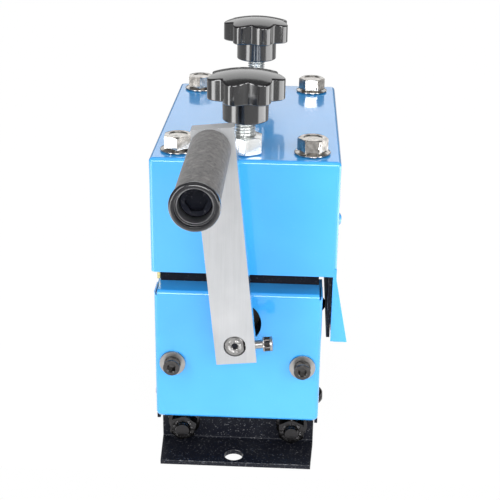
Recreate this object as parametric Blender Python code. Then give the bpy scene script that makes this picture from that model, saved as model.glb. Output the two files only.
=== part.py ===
"""A bench wire stripping machine, driven by a hand crank.

A wire is pushed in from the left through a hole of the guide plate. The knurled feed roller carries it
under the round cutters, and it leaves on the right over the hanging guard. Two star knobs set how deep
the cutters reach. X runs with the wire, Y from the crank end to the rear, and Z up. In the layout, Y is
zero on the front panel's face and Z is zero on the bench.
"""

import math

import bmesh
import bpy
from mathutils import Matrix, Vector

MM = 0.001

# Clearances and steps of the round shapes
GAP = 0.3 * MM
OVERRUN = 1.0 * MM
ROUND_STEPS = 24
HOLE_STEPS = 16
SCREW_STEPS = 12
SMALL_STEPS = 10
CORNER_STEPS = 3

# Overall layout
BODY_LENGTH = 162.0 * MM
PANEL_SETBACK = 13.8 * MM
COVER_SETBACK = 6.0 * MM
SHAFT_HEIGHT = 76.0 * MM

# End frames
FRAME_WIDTH = 80.0 * MM
FRAME_THICKNESS = 12.0 * MM
FRAME_BOTTOM = 4.0 * MM
FRAME_CORNER = 2.0 * MM
BOSS_RADIUS = 6.0 * MM

# Feet
FOOT_SHEET = 2.5 * MM
FOOT_REACH = 26.1 * MM
FOOT_TAPER = 1.4 * MM
FOOT_FLANGE_HEIGHT = 27.0 * MM
FOOT_BEND = 3.5 * MM
FOOT_HOLE_RADIUS = 4.8 * MM
FOOT_HOLE_INSET = 7.0 * MM
FOOT_HOLE_SHIFT = -1.2 * MM
FOOT_BOLT_INSET = 11.5 * MM
FOOT_BOLT_SPAN = FRAME_WIDTH - 2 * FOOT_BOLT_INSET
FOOT_BOLT_HEIGHT = 12.2 * MM

# Lower panels
PANEL_SHEET = 1.7 * MM
PANEL_BOTTOM = 20.7 * MM
PANEL_RISE = 16.5 * MM
PANEL_TOP = SHAFT_HEIGHT + PANEL_RISE
PANEL_BEND = 2.2 * MM
PANEL_CORNER = 3.0 * MM
PANEL_FLANGE_DEPTH = 27.0 * MM
PANEL_RETURN = 6.0 * MM
SLIT_WIDTH = 0.9 * MM
SLIT_DEPTH = 2.2 * MM
SLIT_ROUND = 0.4 * MM
SHAFT_OPENING_RADIUS = 11.8 * MM
PANEL_SCREW_INSET = 7.0 * MM
PANEL_SCREW_SPAN = FRAME_WIDTH - 2 * PANEL_SCREW_INSET
PANEL_SCREW_RISE = 32.1 * MM

# Side rails
RAIL_SHEET = 1.5 * MM
RAIL_HEIGHT = 14.0 * MM
RAIL_DROP = 3.0 * MM
RAIL_CORNER = 1.5 * MM
RAIL_END_INSET = 3.0 * MM
LOWER_SIDE_SCREW_HEIGHT = 25.5 * MM
UPPER_LEFT_SCREW_DROP = 19.6 * MM
UPPER_RIGHT_SCREW_DROP = 13.4 * MM

# Cover
COVER_SHEET = 1.8 * MM
COVER_LEFT_MARGIN = 4.0 * MM
COVER_RIGHT_MARGIN = 8.5 * MM
COVER_GAP = 7.7 * MM
COVER_HEIGHT = 59.3 * MM
COVER_BOTTOM = PANEL_TOP + COVER_GAP
COVER_TOP = COVER_BOTTOM + COVER_HEIGHT
COVER_BEND = 2.2 * MM
GUARD_DROP = 36.2 * MM
GUARD_FLARE = 6.6 * MM
GUARD_CORNER = 1.5 * MM
GUSSET_SHEET = 1.6 * MM
GUSSET_INSET = 0.1 * MM
GUSSET_RISE = 3.6 * MM
GUSSET_LIFT = 0.5 * MM
WINDOW_INSET = 30.0 * MM
COVER_BOLT_INSET = 7.25 * MM
TOP_ROW_SHIFT = 1.8 * MM

# Guide plate and exit liner
GUIDE_SHEET = 1.5 * MM
GUIDE_BELOW_HOLES = 5.6 * MM
GUIDE_ABOVE_HOLES = 25.2 * MM
GUIDE_HOLE_RISE = 2.8 * MM
GUIDE_ROW_SHARE = 0.8333
LEFT_WINDOW_RISE = 20.2 * MM
RIGHT_WINDOW_RISE = 18.2 * MM
RIGHT_WINDOW_DROP = 4.8 * MM
GUIDE_HOLE_RADII = tuple(radius * MM for radius in (1.0, 1.5, 2.0, 2.5, 3.0, 3.5, 4.3))
LINER_SHEET = 1.8 * MM
LINER_BOTTOM_INSET = 1.0 * MM
LINER_SIDE_INSET = 2.0 * MM
LINER_SCREW_RISE = 7.4 * MM
LINER_TOP_MARGIN = 7.0 * MM
LINER_SCREW_INSET = 14.0 * MM

# Drive shaft, roller and lower bushes
SHAFT_RADIUS = 6.0 * MM
SHAFT_NOSE_RADIUS = 5.1 * MM
SHAFT_FLAT = 0.9 * MM
SHAFT_SOCKET_AF = 3.0 * MM
SHAFT_SOCKET_DEPTH = 3.0 * MM
SHAFT_REAR_STUB = 2.0 * MM
BUSH_WALL = 3.0 * MM
BUSH_FLANGE_RADIUS = 11.0 * MM
BUSH_FLANGE_WIDTH = 1.5 * MM
ROLLER_RADIUS = 20.0 * MM
ROLLER_END_GAP = 1.5 * MM
ROLLER_CHAMFER = 1.0 * MM
GROOVE_WIDTH = 7.0 * MM
GROOVE_DEPTH = 2.4 * MM

# Cutters, their shaft and the sliding bearing blocks
NIP_GAP = 6.0 * MM
CUTTER_RADIUS = 18.0 * MM
CUTTER_THICKNESS = 4.0 * MM
CUTTER_BEVEL = 2.6 * MM
CUTTER_EDGE = 0.3 * MM
CUTTER_PLACE_SHARES = (0.2536, 0.4891, 0.7337)
CUTTER_SHAFT_RADIUS = 6.0 * MM
SPACER_RADIUS = 9.5 * MM
BLOCK_WIDTH = 28.0 * MM
BLOCK_HALF_HEIGHT = 14.0 * MM
BLOCK_LIP = 3.0 * MM
BLOCK_LIP_THICKNESS = 2.5 * MM
LIFT_DOWN = 5.5 * MM
LIFT_UP = 6.0 * MM
WINDOW_SPARE = 0.6 * MM

# Adjusting rods, lock nuts and star knobs
ROD_RADIUS = 4.9 * MM
ROD_CLEARANCE = 0.4 * MM
ROD_CHAMFER = 0.6 * MM
ROD_COLLAR_RADIUS = 6.6 * MM
ROD_COLLAR_HEIGHT = 3.0 * MM
ROD_COLLAR_COVERED = 4.5 * MM
ROD_IN_KNOB = 12.0 * MM
LOCK_NUT_AF = 16.0 * MM
LOCK_NUT_HEIGHT = 8.4 * MM
FRONT_KNOB_RISE = 16.5 * MM
REAR_KNOB_RISE = 19.0 * MM
KNOB_HUB_RADIUS = 11.3 * MM
KNOB_HUB_HEIGHT = 10.8 * MM
KNOB_RADIUS = 19.0 * MM
KNOB_VALLEY_RADIUS = 15.3 * MM
KNOB_HEAD_HEIGHT = 10.0 * MM
KNOB_DOME = 3.5 * MM
KNOB_ROUND = 0.9 * MM
KNOB_LOBES = 7
KNOB_STEPS_PER_LOBE = 6
KNOB_LOBE_POWER = 0.7
KNOB_DOME_SHARES = (0.85, 0.45)
FRONT_KNOB_TURN = math.radians(-110.0)
REAR_KNOB_TURN = math.radians(-74.0)

# Crank
CRANK_LEAN = math.radians(-5.8)
ARM_WIDTH = 19.5 * MM
ARM_THICKNESS = 8.0 * MM
ARM_BELOW_SHAFT = 9.3 * MM
ARM_THROW = 99.0 * MM
ARM_ABOVE_PIN = 9.2 * MM
PIN_OFFSET = -1.6 * MM
ARM_CHAMFER = 0.5 * MM
ARM_STANDOFF = 17.0 * MM
GRIP_LENGTH = 76.0 * MM
GRIP_RADIUS = 9.4 * MM
GRIP_BEAD_RADIUS = 10.2 * MM
GRIP_BEAD_LENGTH = 4.0 * MM
GRIP_MOUTH_RADIUS = 7.6 * MM
GRIP_MOUTH_DEPTH = 14.0 * MM
GRIP_ROUND = 1.8 * MM
PIN_RADIUS = 4.0 * MM
PIN_HEAD_RADIUS = 6.5 * MM
PIN_HEAD_HEIGHT = 6.0 * MM
PIN_TAIL = 1.2 * MM
CLAMP_NECK = 3.6 * MM
CLAMP_DROP = 1.6 * MM

# Screws: shank radius, head radius, head height, socket across flats
M5_CAP = (2.5 * MM, 4.25 * MM, 5.0 * MM, 4.0 * MM)
M4_CAP = (2.0 * MM, 3.6 * MM, 4.6 * MM, 3.0 * MM)
M5_BUTTON = (2.5 * MM, 4.75 * MM, 2.75 * MM, 3.0 * MM)
M4_BUTTON = (2.0 * MM, 3.6 * MM, 1.8 * MM, 2.5 * MM)
SOCKET_DEPTH_SHARE = 0.5
HEAD_CHAMFER_SHARE = 0.125
BUTTON_DOME_TURNS = (0.0, 0.5, 1.0)
BUTTON_CROWN_SHARE = 0.42
WASHER_RADIUS = 6.6 * MM
WASHER_THICKNESS = 1.2 * MM
PANEL_SCREW_GRIP = 9.0 * MM
SIDE_SCREW_GRIP = 9.0 * MM
M8_RADIUS = 3.95 * MM
M8_CLEARANCE = 0.45 * MM
COVER_BOLT_FLANGE_RADIUS = 8.9 * MM
COVER_BOLT_HEAD_AF = 13.0 * MM
COVER_BOLT_HEAD_HEIGHT = 8.0 * MM
COVER_BOLT_GRIP = 20.0 * MM
FLANGE_RIM = 1.0 * MM
FOOT_NUT_AF = 13.0 * MM
FOOT_NUT_HEIGHT = 7.6 * MM
FOOT_NUT_FLANGE_RADIUS = 8.3 * MM
FOOT_BOLT_HEAD_HEIGHT = 5.3 * MM
FOOT_BOLT_STICKOUT = 2.6 * MM
HEX_CHAMFER_SHARE = 0.14

# Places worked out from the sizes above
PANEL_WIDTH = FRAME_WIDTH + 2 * (GAP + PANEL_SHEET)
FRAME_TOP = COVER_TOP - COVER_SHEET - GAP
FRAME_MID = PANEL_SETBACK + FRAME_THICKNESS / 2
FRAME_INNER = PANEL_SETBACK + FRAME_THICKNESS
CUTTER_SEATS = [FRAME_INNER + share * (BODY_LENGTH - 2 * FRAME_INNER) for share in CUTTER_PLACE_SHARES]
COVER_LENGTH = BODY_LENGTH - 2 * COVER_SETBACK
COVER_LEFT = FRAME_WIDTH / 2 + COVER_LEFT_MARGIN
COVER_RIGHT = FRAME_WIDTH / 2 + COVER_RIGHT_MARGIN
COVER_BOLT_PLACES = [TOP_ROW_SHIFT + side * (FRAME_WIDTH / 2 - COVER_BOLT_INSET) for side in (-1, 1)]
WINDOW_LENGTH = COVER_LENGTH - 2 * WINDOW_INSET
GUIDE_HOLE_HEIGHT = SHAFT_HEIGHT + ROLLER_RADIUS + GUIDE_HOLE_RISE
GUIDE_HOLE_PITCH = WINDOW_LENGTH * GUIDE_ROW_SHARE / (len(GUIDE_HOLE_RADII) - 1)
LEFT_WINDOW_TOP = GUIDE_HOLE_HEIGHT + LEFT_WINDOW_RISE
RIGHT_WINDOW_TOP = GUIDE_HOLE_HEIGHT + RIGHT_WINDOW_RISE
RIGHT_WINDOW_BOTTOM = GUIDE_HOLE_HEIGHT - RIGHT_WINDOW_DROP
LINER_SCREW_HEIGHT = RIGHT_WINDOW_TOP + LINER_SCREW_RISE
CUTTER_HEIGHT = SHAFT_HEIGHT + ROLLER_RADIUS + NIP_GAP + CUTTER_RADIUS
BLOCK_WINDOW_BOTTOM = CUTTER_HEIGHT - BLOCK_HALF_HEIGHT - LIFT_DOWN - WINDOW_SPARE
BLOCK_WINDOW_TOP = CUTTER_HEIGHT + BLOCK_HALF_HEIGHT + LIFT_UP + WINDOW_SPARE
PANEL_SCREW_HEIGHT = PANEL_BOTTOM + PANEL_SCREW_RISE
RAIL_OUTER = FRAME_WIDTH / 2 + GAP + RAIL_SHEET
RAIL_BOTTOM = PANEL_BOTTOM - RAIL_DROP
ARM_BACK = -ARM_STANDOFF
ARM_FRONT = ARM_BACK - ARM_THICKNESS
GRIP_FAR_END = ARM_FRONT - GAP
GRIP_NEAR_END = GRIP_FAR_END - GRIP_LENGTH
FOOT_FRONT_EDGE = PANEL_SETBACK - GAP - FOOT_REACH
GUARD_BOTTOM = COVER_BOTTOM - GUARD_DROP
SIDE_REACH = RAIL_OUTER + GAP + M5_BUTTON[2]
UPPER_SCREW_HEIGHTS = {-1: PANEL_TOP - UPPER_LEFT_SCREW_DROP, 1: PANEL_TOP - UPPER_RIGHT_SCREW_DROP}
X_MIDDLE = (COVER_RIGHT + GUARD_FLARE - SIDE_REACH) / 2
Y_MIDDLE = (GRIP_NEAR_END + BODY_LENGTH - FOOT_FRONT_EDGE) / 2


# Shapes

def on_axis(axis):
    """How a point (a, b, along) of a shape drawn square to this axis lies in space."""
    return {
        "x": lambda a, b, along: Vector((along, a, b)),
        "y": lambda a, b, along: Vector((a, along, b)),
        "z": lambda a, b, along: Vector((a, b, along)),
    }[axis]


def prism(points, start, end, axis):
    """A closed solid: an outline carried from start to end along the axis."""
    at = on_axis(axis)
    bm = bmesh.new()
    face = bm.faces.new([bm.verts.new(at(a, b, start)) for a, b in points])
    grown = bmesh.ops.extrude_face_region(bm, geom=[face])
    verts = [item for item in grown["geom"] if isinstance(item, bmesh.types.BMVert)]
    bmesh.ops.translate(bm, vec=at(0, 0, end - start), verts=verts)
    bmesh.ops.recalc_face_normals(bm, faces=bm.faces)
    return bm


def rounded(corners, steps=CORNER_STEPS):
    """An outline whose corners (a, b, radius) are rounded by arcs."""
    points = []
    for index, (a, b, radius) in enumerate(corners):
        here = Vector((a, b))
        if not radius:
            points.append(here)
            continue
        before = (Vector(corners[index - 1][:2]) - here).normalized()
        after = (Vector(corners[(index + 1) % len(corners)][:2]) - here).normalized()
        half = before.angle(after) / 2
        middle = here + (before + after).normalized() * radius / math.sin(half)
        first = here + before * radius / math.tan(half) - middle
        last = here + after * radius / math.tan(half) - middle
        turn = first.angle_signed(last)
        for step in range(steps + 1):
            points.append(middle + Matrix.Rotation(-turn * step / steps, 2) @ first)
    return points


def rectangle(a0, a1, b0, b1, radius=0.0):
    return rounded([(a0, b0, radius), (a1, b0, radius), (a1, b1, radius), (a0, b1, radius)])


def block(x, y, z):
    """A plain block between two values on each axis."""
    return prism(rectangle(x[0], x[1], y[0], y[1]), z[0], z[1], "z")


def hexagon(across_flats):
    corner = across_flats / math.sqrt(3)
    return [(corner * math.cos(math.pi * k / 3), corner * math.sin(math.pi * k / 3)) for k in range(6)]


def turned(profile, axis, steps=ROUND_STEPS, bored=False):
    """A turned solid: (radius, along) points spun round the axis. A bored one's profile closes on itself."""
    at = on_axis(axis)
    bm = bmesh.new()
    verts = [bm.verts.new(at(radius, 0, along)) for radius, along in profile]
    pairs = list(zip(verts, verts[1:]))
    if bored:
        pairs.append((verts[-1], verts[0]))
    edges = [bm.edges.new(pair) for pair in pairs]
    centre = (0, 0, 0)
    bmesh.ops.spin(bm, geom=verts + edges, cent=centre, axis=at(0, 0, 1), angle=2 * math.pi, steps=steps)
    bmesh.ops.remove_doubles(bm, verts=bm.verts, dist=GAP / 1000)
    bmesh.ops.recalc_face_normals(bm, faces=bm.faces)
    return bm


def rod(radius, start, end, axis, steps=HOLE_STEPS):
    return turned([(0, start), (radius, start), (radius, end), (0, end)], axis, steps)


def moved(bm, x=0, y=0, z=0):
    bmesh.ops.translate(bm, vec=(x, y, z), verts=bm.verts)
    return bm


# Objects

def material(name, colour, roughness, metallic=0.0):
    made = bpy.data.materials.new(name)
    made.use_nodes = True
    shader = made.node_tree.nodes["Principled BSDF"]
    shader.inputs["Base Color"].default_value = (*colour, 1.0)
    shader.inputs["Roughness"].default_value = roughness
    shader.inputs["Metallic"].default_value = metallic
    made.diffuse_color = (*colour, 1.0)
    return made


def made_object(name, bm):
    mesh = bpy.data.meshes.new(name)
    bm.to_mesh(mesh)
    bm.free()
    mesh.shade_smooth()
    mesh.set_sharp_from_angle(angle=math.radians(35))
    obj = bpy.data.objects.new(name, mesh)
    bpy.context.collection.objects.link(obj)
    return obj


def piece(name, bm, finish, parent, place=(0, 0, 0), turn=0.0):
    """One sub-part, placed in its parent's axes and turned about the vertical."""
    obj = made_object(name, bm)
    obj.data.materials.append(finish)
    obj.parent = parent
    obj.location = place
    obj.rotation_euler.z = turn
    return obj


def shape_with(obj, operation, bm):
    """Adds a shape to an object, or takes it away, in the object's own axes."""
    tool = made_object(f"{obj.name}_tool", bm)
    tool.parent = obj
    tool.hide_render = True
    tool.display_type = "WIRE"
    change = obj.modifiers.new(operation.title(), "BOOLEAN")
    change.operation = operation
    change.object = tool


def cut(obj, bm):
    shape_with(obj, "DIFFERENCE", bm)


def join(obj, bm):
    shape_with(obj, "UNION", bm)


def copy_of(source, name, place, turn=0.0):
    """Another piece with the same mesh and the same cuts."""
    obj = source.copy()
    obj.name = name
    bpy.context.collection.objects.link(obj)
    obj.location = place
    obj.rotation_euler.z = turn
    for change, old in zip(obj.modifiers, source.modifiers):
        if old.type == "BOOLEAN":
            tool = old.object.copy()
            bpy.context.collection.objects.link(tool)
            tool.parent = obj
            change.object = tool
    return obj


def axis_empty(name, parent, place, rotation=(0, 0, 0)):
    empty = bpy.data.objects.new(name, None)
    bpy.context.collection.objects.link(empty)
    empty.parent = parent
    empty.location = place
    empty.rotation_euler = rotation
    return empty


# Fasteners, each with its axis on Z, its head up and its seat at zero

def cap_screw(name, sizes, shank, finish, parent, washer=False):
    """A socket head cap screw. Its washer, where it has one, sits captive under the head."""
    radius, head_radius, head_height, socket = sizes
    edge = head_height * HEAD_CHAMFER_SHARE
    seat = WASHER_THICKNESS if washer else 0.0
    captive = [(WASHER_RADIUS, 0), (WASHER_RADIUS, seat)] if washer else []
    top = seat + head_height
    head = [(head_radius, seat), (head_radius, top - edge), (head_radius - edge, top), (0, top)]
    profile = [(0, -shank), (radius, -shank), (radius, 0), *captive, *head]
    obj = piece(name, turned(profile, "z", SCREW_STEPS), finish, parent)
    depth = head_height * SOCKET_DEPTH_SHARE
    cut(obj, prism(hexagon(socket), top - depth, top + OVERRUN, "z"))
    return obj


def button_screw(name, sizes, shank, finish, parent):
    """A button head screw with a low domed head."""
    radius, head_radius, head_height, socket = sizes
    dome = [(head_radius * math.cos(turn), head_height * math.sin(turn)) for turn in BUTTON_DOME_TURNS]
    crown = (head_radius * BUTTON_CROWN_SHARE, head_height)
    profile = [(0, -shank), (radius, -shank), (radius, 0), *dome, crown, (0, head_height)]
    obj = piece(name, turned(profile, "z", SCREW_STEPS), finish, parent)
    depth = head_height * SOCKET_DEPTH_SHARE
    cut(obj, prism(hexagon(socket), head_height - depth, head_height + OVERRUN, "z"))
    return obj


def hex_envelope(across_flats, height, both_ends):
    """The turned shape that chamfers a hexagon's corners."""
    corner = across_flats / math.sqrt(3) + GAP
    inner = across_flats / 2 * (1 - HEX_CHAMFER_SHARE / 4)
    rise = across_flats * HEX_CHAMFER_SHARE / 2
    low = [(0, 0), (inner, 0), (corner, rise)] if both_ends else [(0, 0), (corner, 0)]
    return turned([*low, (corner, height - rise), (inner, height), (0, height)], "z", HOLE_STEPS)


def hex_solid(name, across_flats, height, finish, parent, both_ends=False):
    """A hexagon from its seat at zero up, with its corners chamfered above, or at both ends."""
    obj = piece(name, prism(hexagon(across_flats), 0, height, "z"), finish, parent)
    shape_with(obj, "INTERSECT", hex_envelope(across_flats, height, both_ends))
    return obj


def flange_skirt(flange_radius, across_flats):
    """The sloping flange under a hexagon."""
    neck = across_flats / 2
    top = FLANGE_RIM + (flange_radius - neck) / 2
    profile = [(0, 0), (flange_radius, 0), (flange_radius, FLANGE_RIM), (neck, top), (0, top)]
    return turned(profile, "z", HOLE_STEPS)


def seat_screw(obj, place, direction):
    """Lays a fastener's head along a direction, with its seat at the place."""
    obj.location = place
    obj.rotation_mode = "QUATERNION"
    obj.rotation_quaternion = Vector(direction).to_track_quat("Z", "Y")
    return obj


# The stationary machine

def at_end(obj, end):
    """A piece drawn for the front end is turned round for the rear one."""
    if end == "rear":
        obj.location.y = BODY_LENGTH
        obj.rotation_euler.z = math.pi


def end_frame(base, black, end, shift):
    """A thick end plate: a bore for the drive shaft, and above it a window for the sliding bearing block."""
    half = FRAME_WIDTH / 2
    near = PANEL_SETBACK
    outline = rectangle(-half, half, FRAME_BOTTOM, FRAME_TOP, FRAME_CORNER)
    frame = piece(f"{end}_frame", prism(outline, near, FRAME_INNER, "y"), black, base)
    for side in (-1, 1):
        boss_x = side * PANEL_SCREW_SPAN / 2
        boss = rod(BOSS_RADIUS, PANEL_SHEET + GAP, near + OVERRUN, "y", SCREW_STEPS)
        join(frame, moved(boss, x=boss_x, z=PANEL_SCREW_HEIGHT))
        bore = rod(M5_CAP[0] + GAP, 0, PANEL_SETBACK + PANEL_SCREW_GRIP, "y", SMALL_STEPS)
        cut(frame, moved(bore, x=boss_x, z=PANEL_SCREW_HEIGHT))
        foot_bore = rod(M8_RADIUS + M8_CLEARANCE, near - OVERRUN, FRAME_INNER + OVERRUN, "y", SMALL_STEPS)
        cut(frame, moved(foot_bore, x=side * FOOT_BOLT_SPAN / 2, z=FOOT_BOLT_HEIGHT))
        for screw, height in ((M5_BUTTON, LOWER_SIDE_SCREW_HEIGHT), (M4_BUTTON, UPPER_SCREW_HEIGHTS[side])):
            depth = side * (half - SIDE_SCREW_GRIP)
            side_bore = rod(screw[0] + GAP, depth, side * (half + OVERRUN), "x", SMALL_STEPS)
            cut(frame, moved(side_bore, y=FRAME_MID, z=height))
    for side in (-1, 1):
        x = shift + side * (half - COVER_BOLT_INSET)
        tapped = rod(M8_RADIUS + GAP, FRAME_TOP - COVER_BOLT_GRIP - GAP, FRAME_TOP + OVERRUN, "z", SMALL_STEPS)
        cut(frame, moved(tapped, x=x, y=FRAME_MID))
    shaft_bore = rod(SHAFT_RADIUS + GAP + BUSH_WALL + GAP, near - OVERRUN, FRAME_INNER + OVERRUN, "y")
    cut(frame, moved(shaft_bore, z=SHAFT_HEIGHT))
    window_half = BLOCK_WIDTH / 2 + GAP
    window = rectangle(-window_half, window_half, BLOCK_WINDOW_BOTTOM, BLOCK_WINDOW_TOP)
    cut(frame, prism(window, near - OVERRUN, FRAME_INNER + OVERRUN, "y"))
    rod_bore = rod(ROD_RADIUS + ROD_CLEARANCE, BLOCK_WINDOW_TOP - OVERRUN, FRAME_TOP + OVERRUN, "z")
    cut(frame, moved(rod_bore, x=shift, y=FRAME_MID))
    at_end(frame, end)


def foot(base, black):
    """An angle foot: a flange bolted to the end frame and a tongue with the bench screw's hole."""
    half = FRAME_WIDTH / 2
    back = PANEL_SETBACK - GAP
    inner = back - FOOT_SHEET
    section = rounded([
        (FOOT_FRONT_EDGE, 0, 0),
        (back, 0, FOOT_BEND),
        (back, FOOT_FLANGE_HEIGHT, 0),
        (inner, FOOT_FLANGE_HEIGHT, 0),
        (inner, FOOT_SHEET, FOOT_BEND - FOOT_SHEET),
        (FOOT_FRONT_EDGE, FOOT_SHEET, 0),
    ])
    angle = piece("front_foot", prism(section, -half, half, "x"), black, base)
    for side in (-1, 1):
        bore = rod(M8_RADIUS + M8_CLEARANCE, inner - OVERRUN, back + OVERRUN, "y", SMALL_STEPS)
        cut(angle, moved(bore, x=side * FOOT_BOLT_SPAN / 2, z=FOOT_BOLT_HEIGHT))
        # The tongue narrows a little towards its front edge.
        corner = (side * (half - FOOT_TAPER), FOOT_FRONT_EDGE - OVERRUN)
        waste = [corner, (side * (half + OVERRUN), corner[1]), (side * (half + OVERRUN), back), (side * half, back - FOOT_BEND)]
        cut(angle, prism(waste, -OVERRUN, FOOT_SHEET + OVERRUN, "z"))
    hole = rod(FOOT_HOLE_RADIUS, -OVERRUN, FOOT_SHEET + OVERRUN, "z", ROUND_STEPS)
    cut(angle, moved(hole, x=FOOT_HOLE_SHIFT, y=FOOT_FRONT_EDGE + FOOT_HOLE_INSET))
    copy_of(angle, "rear_foot", (0, BODY_LENGTH, 0), math.pi)


def foot_fasteners(base, black):
    """Four bolts from inside the frames, each with a flange nut on the foot's side."""
    head_seat = FRAME_INNER + GAP
    nut_seat = PANEL_SETBACK - GAP - FOOT_SHEET - GAP
    length = head_seat - nut_seat + FOOT_NUT_HEIGHT + FOOT_BOLT_STICKOUT
    for end, rearward in (("front", 1), ("rear", -1)):
        head_y, nut_y = (seat if rearward > 0 else BODY_LENGTH - seat for seat in (head_seat, nut_seat))
        for side_name, side in (("left", -1), ("right", 1)):
            x = side * FOOT_BOLT_SPAN / 2
            name = f"{end}_foot_bolt_{side_name}"
            bolt = hex_solid(name, COVER_BOLT_HEAD_AF, FOOT_BOLT_HEAD_HEIGHT, black, base)
            join(bolt, rod(M8_RADIUS, -length, OVERRUN, "z", SMALL_STEPS))
            seat_screw(bolt, (x, head_y, FOOT_BOLT_HEIGHT), (0, rearward, 0))
            nut = hex_solid(f"{end}_foot_nut_{side_name}", FOOT_NUT_AF, FOOT_NUT_HEIGHT, black, base)
            join(nut, flange_skirt(FOOT_NUT_FLANGE_RADIUS, FOOT_NUT_AF))
            cut(nut, rod(M8_RADIUS + GAP, -OVERRUN, FOOT_NUT_HEIGHT + OVERRUN, "z", SMALL_STEPS))
            seat_screw(nut, (x, nut_y, FOOT_BOLT_HEIGHT), (0, -rearward, 0))


def lower_panel(base, blue):
    """A folded tray: its face, a lip on top, a short return below and a flange on each side."""
    half = PANEL_WIDTH / 2
    inner_half = half - PANEL_SHEET
    lip_back = PANEL_SETBACK - GAP
    outline = rounded([
        (-half, PANEL_BOTTOM, PANEL_CORNER),
        (half, PANEL_BOTTOM, PANEL_CORNER),
        (half, PANEL_TOP, 0),
        (-half, PANEL_TOP, 0),
    ])
    tray = prism(outline, 0, PANEL_FLANGE_DEPTH, "y")
    rim = [edge for edge in tray.edges if all(vert.co.y < GAP for vert in edge.verts)]
    bmesh.ops.bevel(tray, geom=rim, offset=PANEL_BEND, segments=CORNER_STEPS, profile=0.5, affect="EDGES")
    panel = piece("front_panel", tray, blue, base)
    inside = rounded([
        (-inner_half, PANEL_BOTTOM + PANEL_SHEET, PANEL_CORNER - PANEL_SHEET),
        (inner_half, PANEL_BOTTOM + PANEL_SHEET, PANEL_CORNER - PANEL_SHEET),
        (inner_half, PANEL_TOP - PANEL_SHEET, 0),
        (-inner_half, PANEL_TOP - PANEL_SHEET, 0),
    ])
    cut(panel, prism(inside, PANEL_SHEET, PANEL_FLANGE_DEPTH + OVERRUN, "y"))
    # The lip and the return are shallower than the flanges.
    behind = PANEL_FLANGE_DEPTH + OVERRUN
    wide = (-half - OVERRUN, half + OVERRUN)
    slit_top = PANEL_TOP + OVERRUN
    cut(panel, block(wide, (lip_back, behind), (PANEL_TOP - PANEL_SHEET - SLIT_DEPTH / 2, slit_top)))
    cut(panel, block(wide, (PANEL_RETURN, behind), (0, PANEL_BOTTOM + PANEL_CORNER)))
    for side in (-1, 1):
        near, far = sorted((side * inner_half, side * (inner_half + SLIT_WIDTH)))
        slit = rounded([
            (near, PANEL_TOP - SLIT_DEPTH, SLIT_ROUND),
            (far, PANEL_TOP - SLIT_DEPTH, SLIT_ROUND),
            (far, slit_top, 0),
            (near, slit_top, 0),
        ])
        cut(panel, prism(slit, -OVERRUN, behind, "y"))
        low, high = sorted((side * inner_half, side * (half + OVERRUN)))
        cut(panel, block((low, high), (-OVERRUN, behind), (PANEL_TOP - SLIT_DEPTH / 2, slit_top)))
        screw = rod(M5_CAP[0] + GAP, -OVERRUN, PANEL_SHEET + OVERRUN, "y", SMALL_STEPS)
        cut(panel, moved(screw, x=side * PANEL_SCREW_SPAN / 2, z=PANEL_SCREW_HEIGHT))
        ends = sorted((side * (inner_half - OVERRUN), side * (half + OVERRUN)))
        hole = rod(M4_BUTTON[0] + GAP, ends[0], ends[1], "x", SMALL_STEPS)
        cut(panel, moved(hole, y=FRAME_MID, z=UPPER_SCREW_HEIGHTS[side]))
        # The rail lies in the flange's plane, so the flange stops above it.
        low, high = sorted((side * (inner_half - GAP), side * (half + OVERRUN)))
        cut(panel, block((low, high), (RAIL_END_INSET - GAP, behind), (0, RAIL_BOTTOM + RAIL_HEIGHT + GAP)))
    copy_of(panel, "rear_panel", (0, BODY_LENGTH, 0), math.pi)
    opening = rod(SHAFT_OPENING_RADIUS, -OVERRUN, PANEL_SHEET + OVERRUN, "y", ROUND_STEPS)
    cut(panel, moved(opening, z=SHAFT_HEIGHT))


def panel_screws(base, steel):
    """Socket screws with captive washers, which hold each panel to the frame's bosses."""
    shank = PANEL_SETBACK + PANEL_SCREW_GRIP - OVERRUN
    for end, seat, direction in (("front", -GAP, -1), ("rear", BODY_LENGTH + GAP, 1)):
        for side_name, side in (("left", -1), ("right", 1)):
            screw = cap_screw(f"{end}_panel_screw_{side_name}", M5_CAP, shank, steel, base, washer=True)
            seat_screw(screw, (side * PANEL_SCREW_SPAN / 2, seat, PANEL_SCREW_HEIGHT), (0, direction, 0))


def side_rails(base, black):
    """A flat bar on each side ties the front and rear together at the bottom."""
    top = RAIL_BOTTOM + RAIL_HEIGHT
    outline = rectangle(RAIL_END_INSET, BODY_LENGTH - RAIL_END_INSET, RAIL_BOTTOM, top, RAIL_CORNER)
    inner = FRAME_WIDTH / 2 + GAP
    for side_name, side in (("left", -1), ("right", 1)):
        near, far = sorted((side * inner, side * RAIL_OUTER))
        rail = piece(f"{side_name}_rail", prism(outline, near, far, "x"), black, base)
        for y in (FRAME_MID, BODY_LENGTH - FRAME_MID):
            hole = rod(M5_BUTTON[0] + GAP, near - OVERRUN, far + OVERRUN, "x", SMALL_STEPS)
            cut(rail, moved(hole, y=y, z=LOWER_SIDE_SCREW_HEIGHT))


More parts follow.
